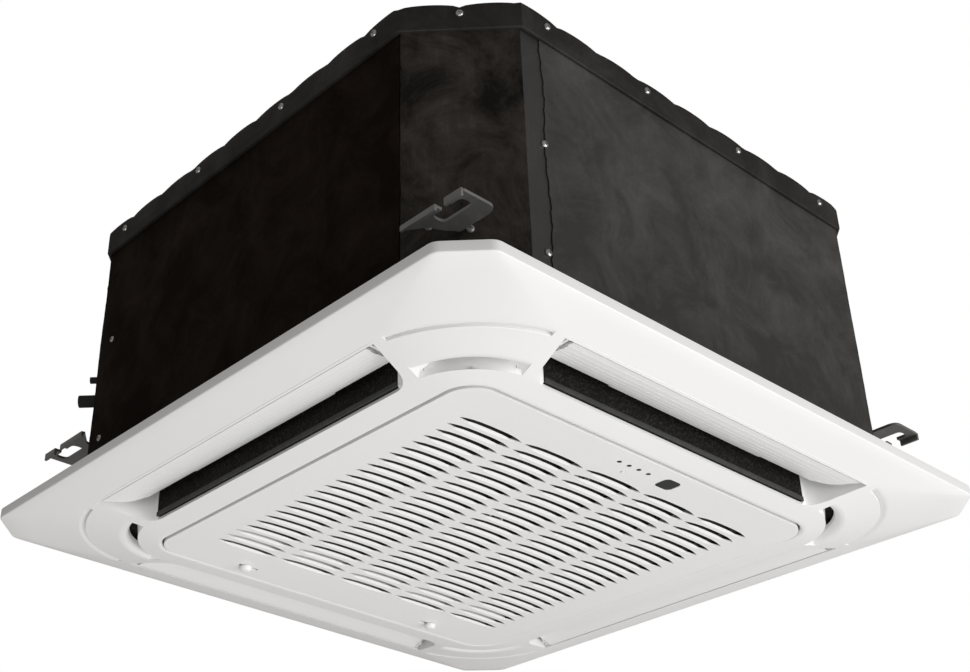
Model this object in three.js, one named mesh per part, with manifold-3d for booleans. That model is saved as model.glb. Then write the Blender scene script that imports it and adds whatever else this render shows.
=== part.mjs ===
// Ceiling cassette air conditioner, in millimetres, +Z up.
// The origin is the centre of the panel on the ceiling plane: the panel hangs below z = 0 and the body
// stands in the ceiling void above it. The display side is y < 0; the grille latches are on y > 0.
import * as THREE from "three";
import { mergeGeometries, mergeVertices } from "three/addons/utils/BufferGeometryUtils.js";
import Module from "manifold-3d";

const wasm = await Module();
wasm.setup();

// ---- driving dimensions ----
const GAP = 0.3; // between pieces that touch
const SIDES = [0, 1, 2, 3]; // front (-y), right (+x), back (+y), left (-x)
const SIDE_NAMES = ["front", "right", "back", "left"];
const CORNER_NAMES = ["front_left", "front_right", "back_right", "back_left"];

const PANEL = { half: 325, cut: 31, rim: 9.5, wall: 3, soft: 9 };
const CORNER_CENTRE = 180; // the dome's corner arcs all turn about (180, 180)
const DOME = {
  outlet: { half: 286, z: -19 }, // ring along the outer edge of the outlets
  lip: { half: 238, z: -28.3 }, // ring along their inner edge
  mouth: { half: 211.5, radius: 26.5, z: -31.6 }, // opening that the grille closes
};
const ARC_STEPS = 6; // facets of a quarter turn on the panel's rings

const OUTLET = { outerEnd: 188, innerEnd: 159, bendX: 180, bendY: 246, wall: 2.4, wallTop: 8 };
const VENT = { inner: 58.8, outer: 68, from: 13, to: 77, top: -8 }; // radii about a corner's centre, degrees
const COVER = { inner: 70.4, outer: 105.4, from: 12.4, to: 77.6, skin: 1.6, ledge: 3 };

const VANE = {
  pivotY: 281, pivotZ: -13, edgeY: 283.6, edgeZ: -18.6, chord: 40, tiltFrom: 5, tiltTo: 30,
  thick: 2.6, steps: 6, step: 0.5, pin: 1.5, pinEnd: 194.4,
};

const GRILLE = { half: 210, radius: 25, z: -31.6, thick: 2.6, chamfer: 1 };
const FIELD = {
  cols: 5, rows: 24, pitchX: 71.6, pitchY: 13.85, // lens-shaped slots of the grille
  slotX: 64, slotY: 9.4, y: -4.3, dish: 3.5, // size of one slot, middle of the field, depth of its dish
};
const HINGE = { y: -185, z: -24, pin: 1.2, x: 146, reach: 3 };
const FILTER = { z: -21.4, halfX: 197, halfY: 181, border: 8 };
const LATCH = { x: 118, y: 192, travel: 6, knob: 6, slotX: 22, slotY: 4 };
const WINDOW = { x: 38.3, y: -189.9, w: 17, h: 15, r: 4 };
const LED = { x0: -25.4, pitch: 11.9, y: -192.8, r: 1.5, count: 4 };
const BUTTON = { x: -8.7, y: -181.9, r: 2, travel: 1 };

const BODY = { half: 285, corner: 216, bottom: 18, top: 284, jacket: 3.7, steel: 1.5 };
const BAND = { low: 260, top: 287, out: 288.7, thick: 3.4, fold: 22, bump: 2.2, pitch: 50 };
const BRACKET = { x: 290, y: 288, right: 255, z: 65, sheet: 2.5, lip: 9, lipEnd: 222, flange: 38, gap: 0.3 };
const PAN = { bottom: 18.3, top: 68, hole: 158 };
const OUTLET_DUCT = { inner: 238.6, outer: 264, end: 186 }; // air passage inside the body
const COIL = { outer: 235, thick: 27, radius: 42, bottom: 69, top: 262 };
const FAN = { outer: 150, hub: 52, bottom: 92, top: 216, blades: 7, wall: 2.4 };
const MOTOR = { r: 58, bottom: 222, top: 276, shaft: 6 };
const BELL = { throat: 98, rim: 172, top: 96, wall: 2 };
const PIPES = { u: -16, gas: { r: 6, z: 113, out: 24 }, liquid: { r: 3.3, z: 136, out: 15.5 } };
const DRAIN = { x: -150, z: 150, r: 12.5 };
const GROMMET = { y: 70, z: 120, r: 14 };
const FLOAT = { x: -168, y: 248 };

const COLOURS = {
  white: { color: 0xe9e9e6, roughness: 0.45, metalness: 0 },
  black: { color: 0x14120f, roughness: 0.85, metalness: 0 },
  foam: { color: 0x1a1816, roughness: 0.95, metalness: 0 },
  grey: { color: 0x4a4a48, roughness: 0.9, metalness: 0 },
  steel: { color: 0x8d9090, roughness: 0.4, metalness: 0.9 },
  zinc: { color: 0x5d5f60, roughness: 0.45, metalness: 0.9 },
  copper: { color: 0xb87040, roughness: 0.35, metalness: 0.95 },
  aluminium: { color: 0xb9bcbe, roughness: 0.45, metalness: 0.9 },
  dark: { color: 0x23211f, roughness: 0.5, metalness: 0 },
  board: { color: 0x1f5a36, roughness: 0.6, metalness: 0 },
};

// ---- geometry helpers ----

// A closed geometry as a solid that can be joined and cut.
function solid(geometry) {
  const bare = new THREE.BufferGeometry();
  bare.setAttribute("position", geometry.getAttribute("position"));
  if (geometry.index) bare.setIndex(geometry.index);
  const merged = mergeVertices(bare, 1e-4);
  const vertProperties = merged.getAttribute("position").array;
  const triVerts = new Uint32Array(merged.index.array);
  return new wasm.Manifold(new wasm.Mesh({ numProp: 3, vertProperties, triVerts }));
}

function geometryOf(made) {
  const mesh = made.getMesh();
  const position = new Float32Array(mesh.numVert * 3);
  for (let i = 0; i < mesh.numVert; i++) {
    position.set(mesh.vertProperties.subarray(i * mesh.numProp, i * mesh.numProp + 3), i * 3);
  }
  const geometry = new THREE.BufferGeometry();
  geometry.setAttribute("position", new THREE.BufferAttribute(position, 3));
  geometry.setIndex(new THREE.BufferAttribute(mesh.triVerts, 1));
  geometry.computeVertexNormals();
  return geometry;
}

const join = (first, ...rest) => rest.reduce((sum, piece) => sum.add(piece), first);
const cut = (first, ...rest) => rest.reduce((left, tool) => left.subtract(tool), first);

function box(x0, x1, y0, y1, z0, z1) {
  const size = new THREE.BoxGeometry(x1 - x0, y1 - y0, z1 - z0);
  return solid(size.translate((x0 + x1) / 2, (y0 + y1) / 2, (z0 + z1) / 2));
}

function prismGeometry(points, z0, z1, holes = []) {
  const shape = new THREE.Shape(points);
  shape.holes = holes.map((hole) => new THREE.Path(hole));
  const settings = { depth: z1 - z0, bevelEnabled: false, curveSegments: 1 };
  return new THREE.ExtrudeGeometry(shape, settings).translate(0, 0, z0);
}

const prism = (points, z0, z1, holes) => solid(prismGeometry(points, z0, z1, holes));

// A round bar along Z.
function bar(x, y, radius, z0, z1, facets = 16) {
  const round = new THREE.CylinderGeometry(radius, radius, z1 - z0, facets);
  return solid(round.rotateX(Math.PI / 2).translate(x, y, (z0 + z1) / 2));
}

// A round bar along X.
function barX(x0, x1, y, z, radius, facets = 12) {
  const round = new THREE.CylinderGeometry(radius, radius, x1 - x0, facets);
  return solid(round.rotateZ(Math.PI / 2).translate((x0 + x1) / 2, y, z));
}

// A round bar along Y.
const barY = (y0, y1, x, z, radius, facets = 12) => barX(y0, y1, -x, z, radius, facets).rotate([0, 0, 90]);

function revolve(profile, facets = 32) {
  const points = profile.map(([r, z]) => new THREE.Vector2(r, z));
  return facingOut(new THREE.LatheGeometry(points, facets).rotateX(Math.PI / 2));
}

// A solid whose faces point outwards, whichever way its outline was drawn.
function facingOut(geometry) {
  const made = solid(geometry);
  if (made.volume() > 0) return made;
  const index = Array.from(geometry.index.array);
  for (let i = 0; i < index.length; i += 3) [index[i], index[i + 1]] = [index[i + 1], index[i]];
  geometry.setIndex(index);
  return solid(geometry);
}

// A skin through loops of equal point counts, closed on itself or capped at both ends.
function loft(loops, closed = false) {
  const count = loops[0].length;
  const position = loops.flat().flatMap((p) => [p.x, p.y, p.z]);
  const index = [];
  const bands = closed ? loops.length : loops.length - 1;
  for (let band = 0; band < bands; band++) {
    const a = band * count;
    const b = ((band + 1) % loops.length) * count;
    for (let i = 0; i < count; i++) {
      const j = (i + 1) % count;
      index.push(a + i, a + j, b + j, a + i, b + j, b + i);
    }
  }
  if (!closed) {
    const last = (loops.length - 1) * count;
    for (let i = 1; i < count - 1; i++) {
      index.push(0, i + 1, i);
      index.push(last, last + i, last + i + 1);
    }
  }
  const geometry = new THREE.BufferGeometry();
  geometry.setAttribute("position", new THREE.BufferAttribute(new Float32Array(position), 3));
  geometry.setIndex(index);
  return facingOut(geometry);
}

const radians = THREE.MathUtils.degToRad;
const turn = (piece, side) => piece.rotate([0, 0, 90 * side]);

// Points of one corner repeated round the four corners, anticlockwise from +X.
function aroundCorners(corner) {
  return SIDES.flatMap((side) =>
    corner.map((p) => p.clone().rotateAround(new THREE.Vector2(), (side * Math.PI) / 2)),
  );
}

function roundedSquare(half, radius, steps = ARC_STEPS) {
  const corner = [];
  for (let i = 0; i <= steps; i++) {
    const angle = (i / steps) * (Math.PI / 2);
    const x = half - radius + radius * Math.cos(angle);
    const y = half - radius + radius * Math.sin(angle);
    corner.push(new THREE.Vector2(x, y));
  }
  return aroundCorners(corner);
}

// A square with cut corners whose edges are softened, with as many points as a rounded square.
function cutSquare(half, cutLength, soft, steps = ARC_STEPS) {
  const path = new THREE.Path();
  const side = half - cutLength;
  const diagonal = soft * Math.SQRT1_2;
  path.moveTo(half, side - soft);
  path.quadraticCurveTo(half, side, half - diagonal, side + diagonal);
  path.lineTo(side + diagonal, half - diagonal);
  path.quadraticCurveTo(side, half, side - soft, half);
  return aroundCorners(path.getSpacedPoints(steps));
}

// A square with plain cut corners: `corner` is where the cut meets the side.
const octagon = (half, corner) =>
  aroundCorners([[half, corner], [corner, half]].map((p) => new THREE.Vector2(...p)));
const atHeight = (points, z) => points.map((p) => new THREE.Vector3(p.x, p.y, z));
const mirrorX = (points) => points.map((p) => new THREE.Vector2(-p.x, p.y)).reverse();

// The octagon moved in by a wall thickness, with its cut faces moved as far as its sides.
function octagonInside(wall) {
  return octagon(BODY.half - wall, BODY.corner - wall * Math.tan(Math.PI / 8));
}

// ---- panel ----

const domeRing = (half, z) => atHeight(roundedSquare(half, half - CORNER_CENTRE), z);
const mouthRing = (half, z) => atHeight(roundedSquare(half, half - 185), z);
const rimRing = (inset, z) => atHeight(cutSquare(PANEL.half - inset, PANEL.cut, PANEL.soft), z);

// Height of the dome's face at a radius about a corner centre.
function domeHeight(radius) {
  const slope = (DOME.outlet.z - DOME.lip.z) / (DOME.outlet.half - DOME.lip.half);
  return DOME.lip.z + slope * (radius - (DOME.lip.half - CORNER_CENTRE));
}

// Everything above the dome's face moved up by `lift`, out to the rim.
function aboveDome(lift, top, inset = 0) {
  return loft(
    [
      mouthRing(DOME.mouth.half - 8, DOME.mouth.z + lift),
      mouthRing(DOME.mouth.half, DOME.mouth.z + lift),
      domeRing(DOME.lip.half, DOME.lip.z + lift),
      domeRing(DOME.outlet.half, DOME.outlet.z + lift),
      rimRing(1 + inset, lift - PANEL.rim - 0.4),
      rimRing(inset, lift - PANEL.rim + 0.8),
      rimRing(inset, top),
      mouthRing(DOME.mouth.half - 8, top),
    ],
    true,
  );
}

function panelShell() {
  const flange = DOME.mouth.half + 3.6;
  return loft(
    [
      mouthRing(DOME.mouth.half, DOME.mouth.z),
      domeRing(DOME.lip.half, DOME.lip.z),
      domeRing(DOME.outlet.half, DOME.outlet.z),
      rimRing(1, -PANEL.rim - 0.4),
      rimRing(0, -PANEL.rim + 0.8),
      rimRing(0, 0),
      rimRing(PANEL.wall, 0),
      rimRing(PANEL.wall, PANEL.wall - PANEL.rim),
      domeRing(DOME.outlet.half, DOME.outlet.z + PANEL.wall),
      domeRing(DOME.lip.half, DOME.lip.z + PANEL.wall),
      mouthRing(flange + 2.2, DOME.mouth.z + PANEL.wall + 0.9),
      mouthRing(flange + 2.2, -14),
      mouthRing(flange, -14),
      mouthRing(DOME.mouth.half + 2.5, DOME.mouth.z + PANEL.wall),
    ],
    true,
  );
}

// One end of an outlet in plan, for the front side, from the outer edge inwards.
function outletEnd(offset = 0) {
  const from = new THREE.Vector2(OUTLET.outerEnd + offset, -DOME.outlet.half);
  const bend = new THREE.Vector2(OUTLET.bendX + offset, -OUTLET.bendY + offset * 0.5);
  const to = new THREE.Vector2(OUTLET.innerEnd + offset * 1.2, -DOME.lip.half);
  return new THREE.QuadraticBezierCurve(from, bend, to).getPoints(5);
}

// The outlet's outline in plan on the front side.
const outletOutline = () => [...outletEnd(), ...mirrorX(outletEnd())];

// The white walls that close both ends of an outlet and reach up into the duct.
function outletEndWalls() {
  const wall = [...outletEnd(0), ...outletEnd(OUTLET.wall).reverse()];
  const right = prism(wall.slice().reverse(), DOME.lip.z - 2, OUTLET.wallTop);
  const left = prism(mirrorX(wall).reverse(), DOME.lip.z - 2, OUTLET.wallTop);
  return right.add(left).intersect(box(-300, 300, -300, -239, -40, 30));
}

// A sector about the corner centre of the back right corner, between two cones that follow the dome.
function sector(inner, outer, from, to, liftLow, liftHigh, steps = 8) {
  const loops = [];
  for (let i = 0; i <= steps; i++) {
    const angle = radians(from + ((to - from) * i) / steps);
    const at = (radius, z) =>
      new THREE.Vector3(
        CORNER_CENTRE + radius * Math.cos(angle),
        CORNER_CENTRE + radius * Math.sin(angle),
        z,
      );
    loops.push([
      at(inner, domeHeight(inner) + liftLow),
      at(outer, domeHeight(outer) + liftLow),
      at(outer, liftHigh(outer)),
      at(inner, liftHigh(inner)),
    ]);
  }
  return loft(loops);
}

const onDome = (lift) => (radius) => domeHeight(radius) + lift;
const flatAt = (z) => () => z;

// Arms that rise from the mouth, reach over the strip of grille that turns up behind the hinge, and come
// down to carry the hinge pins.
function hingeArms() {
  const { x: place, y, z, pin, reach } = HINGE;
  const arm = (x) =>
    join(
      box(x - 3, x + 3, -217, -213.8, -15, 7),
      box(x - 3, x + 3, -217, y + 2, 2.8, 7),
      box(x - 3, x + 3, y - 2, y + 2, z - reach, 7),
    );
  const bore = barX(-170, 170, y, z, pin + GAP);
  return join(arm(-place), arm(place)).subtract(bore);
}

function panelFrame() {
  const { inner, outer, from, to, skin, ledge } = COVER;
  let frame = join(panelShell(), hingeArms());
  const slot = prism(outletOutline(), -40, 30);
  const walls = outletEndWalls();
  const pinHoles = barX(-195, 195, -VANE.pivotY, VANE.pivotZ, VANE.pin + GAP);
  const ventWall = sector(VENT.outer, inner, VENT.from - 2, VENT.to + 2, 0, flatAt(VENT.top));
  const vent = sector(VENT.inner, VENT.outer, VENT.from, VENT.to, -4, flatAt(4));
  const recess = sector(inner, outer, from, to, -4, onDome(skin + GAP));
  const access = sector(inner + ledge, outer - ledge, from + 2, to - 2, -4, flatAt(20));
  const space = aboveDome(0, 30);
  for (const side of SIDES) {
    frame = frame.subtract(turn(slot, side)).add(turn(walls, side).intersect(space));
    frame = frame.add(turn(ventWall, side));
  }
  for (const side of SIDES) {
    frame = cut(frame, ...[pinHoles, vent, recess, access].map((tool) => turn(tool, side)));
  }
  return frame;
}

// A corner cover: a skin that lies flush in the panel's recess, with a clip wall that enters the opening.
function cornerCover() {
  const { inner, outer, from, to, skin, ledge } = COVER;
  const play = 0.3;
  const plate = sector(inner + play, outer - play, from + 0.2, to - 0.2, 0, onDome(skin));
  const rib = ledge + 2.2;
  const plug = sector(inner + ledge + play, outer - ledge - play, from + 2.4, to - 2.4, skin / 2, onDome(5));
  const hollow = sector(inner + rib + play, outer - rib - play, from + 4, to - 4, skin, onDome(9));
  return plate.add(plug).subtract(hollow);
}

// The black foam behind the panel: one air duct per side, joined by a ring round the filter opening.
function ductFoam() {
  const outer = 298;
  const half = 200;
  const holeEnd = 191.8;
  let foam = prism(roundedSquare(232, 45, 4), -30, PAN.bottom - GAP);
  const duct = loft([
    atHeight(rectangle(holeEnd, OUTLET_DUCT.inner, 287), -32),
    atHeight(rectangle(holeEnd, OUTLET_DUCT.inner, 287), 9),
    atHeight(rectangle(holeEnd, OUTLET_DUCT.inner, OUTLET_DUCT.outer), 17.9),
    atHeight(rectangle(holeEnd, OUTLET_DUCT.inner, OUTLET_DUCT.outer), 24),
  ]);
  const motorRoom = box(190, 206, -290, -262, -32, 9);
  const bushRoom = box(-202, -190, -288, -274, -32, -7);
  for (const side of SIDES) {
    foam = foam.add(turn(box(-half, half, -outer, -220, -30, PAN.bottom - GAP), side));
  }
  const cornerRoom = sector(56, COVER.outer + 2, 10, 80, -10, flatAt(2), 4);
  for (const side of SIDES) {
    foam = cut(foam, ...[duct, motorRoom, bushRoom, cornerRoom].map((tool) => turn(tool, side)));
  }
  foam = foam.subtract(prism(roundedSquare(218.2, 34, 4), -40, 30));
  return foam.intersect(aboveDome(PANEL.wall + GAP, 30, PANEL.wall + 0.5));
}

function rectangle(halfX, y0, y1) {
  return [[-halfX, -y1], [halfX, -y1], [halfX, -y0], [-halfX, -y0]].map((p) => new THREE.Vector2(...p));
}

const outletSeal = () => box(-156, 156, -240, -OUTLET_DUCT.inner - GAP, -24.6, -17);

// ---- vanes ----

// Section of a vane in (distance in from the outlet's edge, height): an arc with steps on its lower face.
function vaneSection() {
  const { edgeY, edgeZ, chord, tiltFrom, tiltTo, thick, steps, step } = VANE;
  const lower = [];
  const upper = [];
  let point = new THREE.Vector2(-edgeY, edgeZ);
  for (let i = 0; i <= steps; i++) {
    const tilt = radians(tiltFrom + ((tiltTo - tiltFrom) * i) / steps);
    const normal = new THREE.Vector2(-Math.sin(tilt), Math.cos(tilt));
    lower.push(point.clone());
    if (i > 0 && i < steps) lower.push(point.clone().addScaledVector(normal, -step));
    const taper = i === 0 || i === steps ? 0.45 : 1;
    upper.push(point.clone().addScaledVector(normal, thick * taper));
    const along = new THREE.Vector2(Math.cos(tilt), Math.sin(tilt));
    point = point.clone().addScaledVector(along, chord / steps);
  }
  return [...lower, ...upper.reverse()];
}

function vane() {
  const long = 182;
  const section = vaneSection();
  const blade = loft(
    [-long, long].map((x) => section.map((p) => new THREE.Vector3(x, p.x, p.y))),
  );
  const end = [[166, -290], [181.5, -276], [178, -258], [165, -236], [200, -236], [200, -290]];
  const trim = prism(end.map((p) => new THREE.Vector2(...p)), -40, 30);
  const trimLeft = prism(mirrorX(end.map((p) => new THREE.Vector2(...p))), -40, 30);
  const notch = box(98, 200, -249.4, -230, -30, 30);
  const cheek = (x) =>
    prism(
      [[-284.4, -18.4], [-272, -16.6], [-272, -14], [-278, -9.6], [-283, -9.8], [-284.6, -13]].map(
        (p) => new THREE.Vector2(...p),
      ),
      0,
      3,
    )
      .rotate([90, 0, 90])
      .translate([x, 0, 0]);
  const pins = join(
    barX(176, VANE.pinEnd, -VANE.pivotY, VANE.pivotZ, VANE.pin, 10),
    barX(-VANE.pinEnd, -176, -VANE.pivotY, VANE.pivotZ, VANE.pin, 10),
  );
  const bare = cut(blade, trim, trimLeft, notch, notch.mirror([1, 0, 0]));
  return join(bare, cheek(175.5), cheek(-178.5), pins);
}

// Stepper motor on the outside of an outlet's end wall, with the boss that drives the vane's pin.
function vaneMotor() {
  const can = barX(196, 208, -276, -3.6, 10, 16);
  const boss = socket(191, 196.5);
  const ear = box(196, 197.4, -279, -273, -14.4, 8.6);
  return join(can, boss, ear);
}

// Round the pin of a vane, with its underside flat against the panel.
function socket(x0, x1) {
  const { pivotY, pivotZ, pin } = VANE;
  const collar = barX(x0, x1, -pivotY, pivotZ + 0.6, 3.8, 12).intersect(box(-300, 300, -300, -200, -15.4, 30));
  const from = x0 > 0 ? x0 - 1 : x1 - 4.4;
  const bore = barX(from, from + 5.4, -pivotY, pivotZ, pin + GAP, 10);
  return collar.subtract(bore);
}

const vaneBush = () => socket(-196.5, -191);

// ---- intake grille and what is on it ----

// Depth of the dished slot field above the flat border.
function dish(x, y) {
  const u = 1 - (x / 184) ** 2;
  const v = 1 - ((y - FIELD.y) / 173) ** 2;
  return u > 0 && v > 0 ? FIELD.dish * u * v : 0;
}

// A lens-shaped slot: two shallow arcs that meet in points.
function lens(x, y, steps = 3) {
  const points = [];
  for (const [from, sign] of [[-1, -1], [1, 1]]) {
    for (let i = 0; i < steps; i++) {
      const t = from * (1 - (2 * i) / steps);
      points.push(new THREE.Vector2(x + (t * FIELD.slotX) / 2, y + sign * (1 - t * t) * (FIELD.slotY / 2)));
    }
  }
  return points;
}

function slotCentres() {
  const centres = [];
  for (let row = 0; row < FIELD.rows; row++) {
    for (let col = 0; col < FIELD.cols; col++) {
      const x = (col - (FIELD.cols - 1) / 2) * FIELD.pitchX;
      const y = FIELD.y + (row - (FIELD.rows - 1) / 2) * FIELD.pitchY;
      centres.push([x, y]);
    }
  }
  return centres;
}

function circle(x, y, radius, facets = 10) {
  const points = [];
  for (let i = 0; i < facets; i++) {
    const angle = (i / facets) * 2 * Math.PI;
    points.push(new THREE.Vector2(x + radius * Math.cos(angle), y + radius * Math.sin(angle)));
  }
  return points;
}

const rectangleAt = (x, y, w, h) =>
  [[-1, -1], [1, -1], [1, 1], [-1, 1]].map(([i, j]) => new THREE.Vector2(x + (i * w) / 2, y + (j * h) / 2));

function windowOutline(clearance) {
  const { x, y, w, h, r } = WINDOW;
  const corner = (cx, cy, start) =>
    [0, 45, 90].map((step) => {
      const angle = radians(start + step);
      const radius = r + clearance;
      const u = cx * (w / 2 - r) + radius * Math.cos(angle);
      return new THREE.Vector2(x + u, y + cy * (h / 2 - r) + radius * Math.sin(angle));
    });
  return [...corner(1, 1, 0), ...corner(-1, 1, 90), ...corner(-1, -1, 180), ...corner(1, -1, 270)];
}

function intakeGrille() {
  const holes = slotCentres().map(([x, y]) => lens(x, y));
  for (let i = 0; i < LED.count; i++) holes.push(circle(LED.x0 + i * LED.pitch, LED.y, LED.r + GAP, 8));
  holes.push(circle(BUTTON.x, BUTTON.y, BUTTON.r + GAP, 10));
  holes.push(windowOutline(GAP));
  for (const side of [-1, 1]) {
    holes.push(rectangleAt(side * (LATCH.x - LATCH.travel / 2), LATCH.y, LATCH.slotX, LATCH.slotY));
  }
  const low = GRILLE.z;
  const flat = prism(roundedSquare(GRILLE.half, GRILLE.radius, 5), low, low + GRILLE.thick);
  const cutters = mergeGeometries(holes.map((hole) => prismGeometry(hole, low - 1, low + GRILLE.thick + 1)));
  const plate = geometryOf(flat.subtract(solid(cutters)));
  const position = plate.getAttribute("position");
  for (let i = 0; i < position.count; i++) {
    const x = position.getX(i);
    const y = position.getY(i);
    position.setZ(i, position.getZ(i) + dish(x, y));
  }
  // the lower outer edge is eased, which also frees the hinge side as the grille swings
  const edge = loft([
    atHeight(roundedSquare(GRILLE.half + 5, GRILLE.radius + 5, 5), low - 1),
    atHeight(roundedSquare(GRILLE.half + 5, GRILLE.radius + 5, 5), low + GRILLE.chamfer),
    atHeight(roundedSquare(GRILLE.half, GRILLE.radius, 5), low + GRILLE.chamfer),
    atHeight(roundedSquare(GRILLE.half - GRILLE.chamfer - 1, GRILLE.radius - GRILLE.chamfer, 5), low - 1),
  ], true);
  const lug = (x) => box(x - 3, x + 3, HINGE.y - 3, HINGE.y + 3, low + GRILLE.thick - 0.5, HINGE.z + 2.6);
  const lugs = join(lug(HINGE.x + 7), lug(-HINGE.x - 7));
  const bore = barX(-170, 170, HINGE.y, HINGE.z, HINGE.pin + GAP);
  // stiffening ribs between the columns of slots
  const ribs = [-1.5, -0.5, 0.5, 1.5].map((col) => {
    const x = col * FIELD.pitchX;
    return box(x - 1.2, x + 1.2, -172, 172, low + GRILLE.thick, low + GRILLE.thick + 5.4);
  });
  return join(solid(plate), ...ribs, lugs).subtract(edge).subtract(bore);
}

function airFilter() {
  const { z, halfX, halfY, border } = FILTER;
  const outline = (inset, radius) => {
    const squash = (halfY - inset) / (halfX - inset);
    return roundedSquare(halfX - inset, radius, 3).map((p) => new THREE.Vector2(p.x, p.y * squash));
  };
  const frame = prism(outline(0, 16), z, z + 3.2, [outline(border, 12).reverse()]);
  const net = prism(outline(border - 2, 12), z + 1, z + 1.8);
  const endX = halfX - border + 1;
  const endY = halfY - border + 1;
  const ribs = [-1.5, -0.5, 0.5, 1.5].flatMap((i) => [
    box(i * 76 - 1, i * 76 + 1, -endY, endY, z + 0.3, z + 1.4),
    box(-endX, endX, i * 72 - 1, i * 72 + 1, z + 1.5, z + 2.7),
  ]);
  return join(frame, net, ...ribs);
}

// Slide of one latch with the knob below the grille; it slides towards the middle to let go.
function latch(side) {
  const x = side * LATCH.x;
  const { y, knob } = LATCH;
  const z = GRILLE.z + GRILLE.thick + GAP;
  const slide = box(x - 14, x + 14, y - 5, y + 11, z, z + 1.6);
  const stem = box(x - 3, x + 3, y - 1.5, y + 1.5, GRILLE.z - 1, z + 0.5);
  const profile = [[0, -5], [3.6, -4.6], [5.4, -3.2], [knob, -1.2], [knob, -0.3], [0, -0.3]];
  const head = revolve(profile, 14).translate([x, y, GRILLE.z]);
  return join(slide, stem, head);
}

const receiverWindow = () => prism(windowOutline(0), GRILLE.z + 0.2, GRILLE.z + 3.4);

function displayBoard() {
  const z = GRILLE.z + GRILLE.thick + GAP;
  const under = z + 3.3;
  const board = box(-38, 56, -201, -176, under, under + 1.6);
  const corners = [[-36, -199], [54, -199], [-36, -178], [54, -178]];
  const posts = corners.map(([x, y]) => bar(x, y, 1.6, z, under + 0.5, 8));
  const light = (i) => bar(LED.x0 + i * LED.pitch, LED.y, LED.r, GRILLE.z + 0.4, under + 0.5, 8);
  const lights = [0, 1, 2, 3].map(light);
  const receiver = box(33, 44, -194, -186, GRILLE.z + 3.8, under + 0.5);
  return join(board, ...posts, ...lights, receiver);
}

function pushButton() {
  const z = GRILLE.z + GRILLE.thick + GAP;
  const { x, y, r } = BUTTON;
  return join(bar(x, y, r, GRILLE.z - 0.6, z + 0.5, 10), bar(x, y, r + 1.4, z, z + 1, 10));
}

const hingePin = (side) => {
  const near = side * (HINGE.x - 3.6);
  const far = side * (HINGE.x + 10.6);
  return barX(Math.min(near, far), Math.max(near, far), HINGE.y, HINGE.z, HINGE.pin, 10);
};

// ---- body ----

// Openings through the back left cut corner for the two pipes, and through the left side for the drain.
function pipeCut(radius, z, u, length = 60) {
  const face = (BODY.half + BODY.corner) / 2;
  const along = u * Math.SQRT1_2;
  return solid(
    new THREE.CylinderGeometry(radius, radius, length, 14)
      .rotateZ(Math.PI / 2)
      .rotateZ(-Math.PI / 4)
      .translate(-face + along, face + along, z),
  );
}

function pipeRun(radius, z, u, from, to, facets = 14) {
  const face = (BODY.half + BODY.corner) / 2;
  const along = u * Math.SQRT1_2;
  const middle = ((from + to) / 2) * Math.SQRT1_2;
  return solid(
    new THREE.CylinderGeometry(radius, radius, to - from, facets)
      .rotateZ(Math.PI / 2)
      .rotateZ(-Math.PI / 4)
      .translate(-face + along - middle, face + along + middle, z),
  );
}

const drainHole = (r) => barY(255, 300, DRAIN.x, DRAIN.z, r, 16);
const grommetHole = (r) => barX(240, 300, GROMMET.y, GROMMET.z, r, 16);

function throughHoles(extra) {
  return join(
    pipeCut(PIPES.gas.r + extra, PIPES.gas.z, PIPES.u),
    pipeCut(PIPES.liquid.r + extra, PIPES.liquid.z, PIPES.u),
    drainHole(DRAIN.r + extra),
    grommetHole(GROMMET.r + extra),
  );
}

function casing() {
  const outer = octagonInside(BODY.jacket + GAP);
  const inner = octagonInside(BODY.jacket + GAP + BODY.steel);
  const tray = cut(prism(outer, BODY.bottom, BODY.top), prism(inner, BODY.bottom - 1, BODY.top - BODY.steel));
  // a round dish pressed into the top plate over the motor, and ribs that stiffen the plate
  const dishLow = loft([
    atHeight(circle(0, 0, 92, 28), BODY.top + 1),
    atHeight(circle(0, 0, 92, 28), BODY.top),
    atHeight(circle(0, 0, 86, 28), BODY.top - 5),
  ]);
  const dishSkin = loft([
    atHeight(circle(0, 0, 95, 28), BODY.top - BODY.steel / 2),
    atHeight(circle(0, 0, 95, 28), BODY.top - BODY.steel - 0.2),
    atHeight(circle(0, 0, 88, 28), BODY.top - 5 - BODY.steel),
  ]);
  const ribs = SIDES.map((side) =>
    turn(loft([
      atHeight(rectangleAt(0, -176, 250, 22), BODY.top - 0.5),
      atHeight(rectangleAt(0, -176, 242, 14), BODY.top + 3),
    ]), side),
  );
  const made = join(tray, dishSkin, ...ribs).subtract(dishLow);
  return made.subtract(throughHoles(2));
}

function insulationJacket() {
  const outer = octagonInside(0);
  const inner = octagonInside(BODY.jacket);
  const wrap = prism(outer, BODY.bottom + 4, BAND.top - 3.5, [inner.slice().reverse()]);
  return wrap.subtract(throughHoles(1.2));
}

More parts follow.
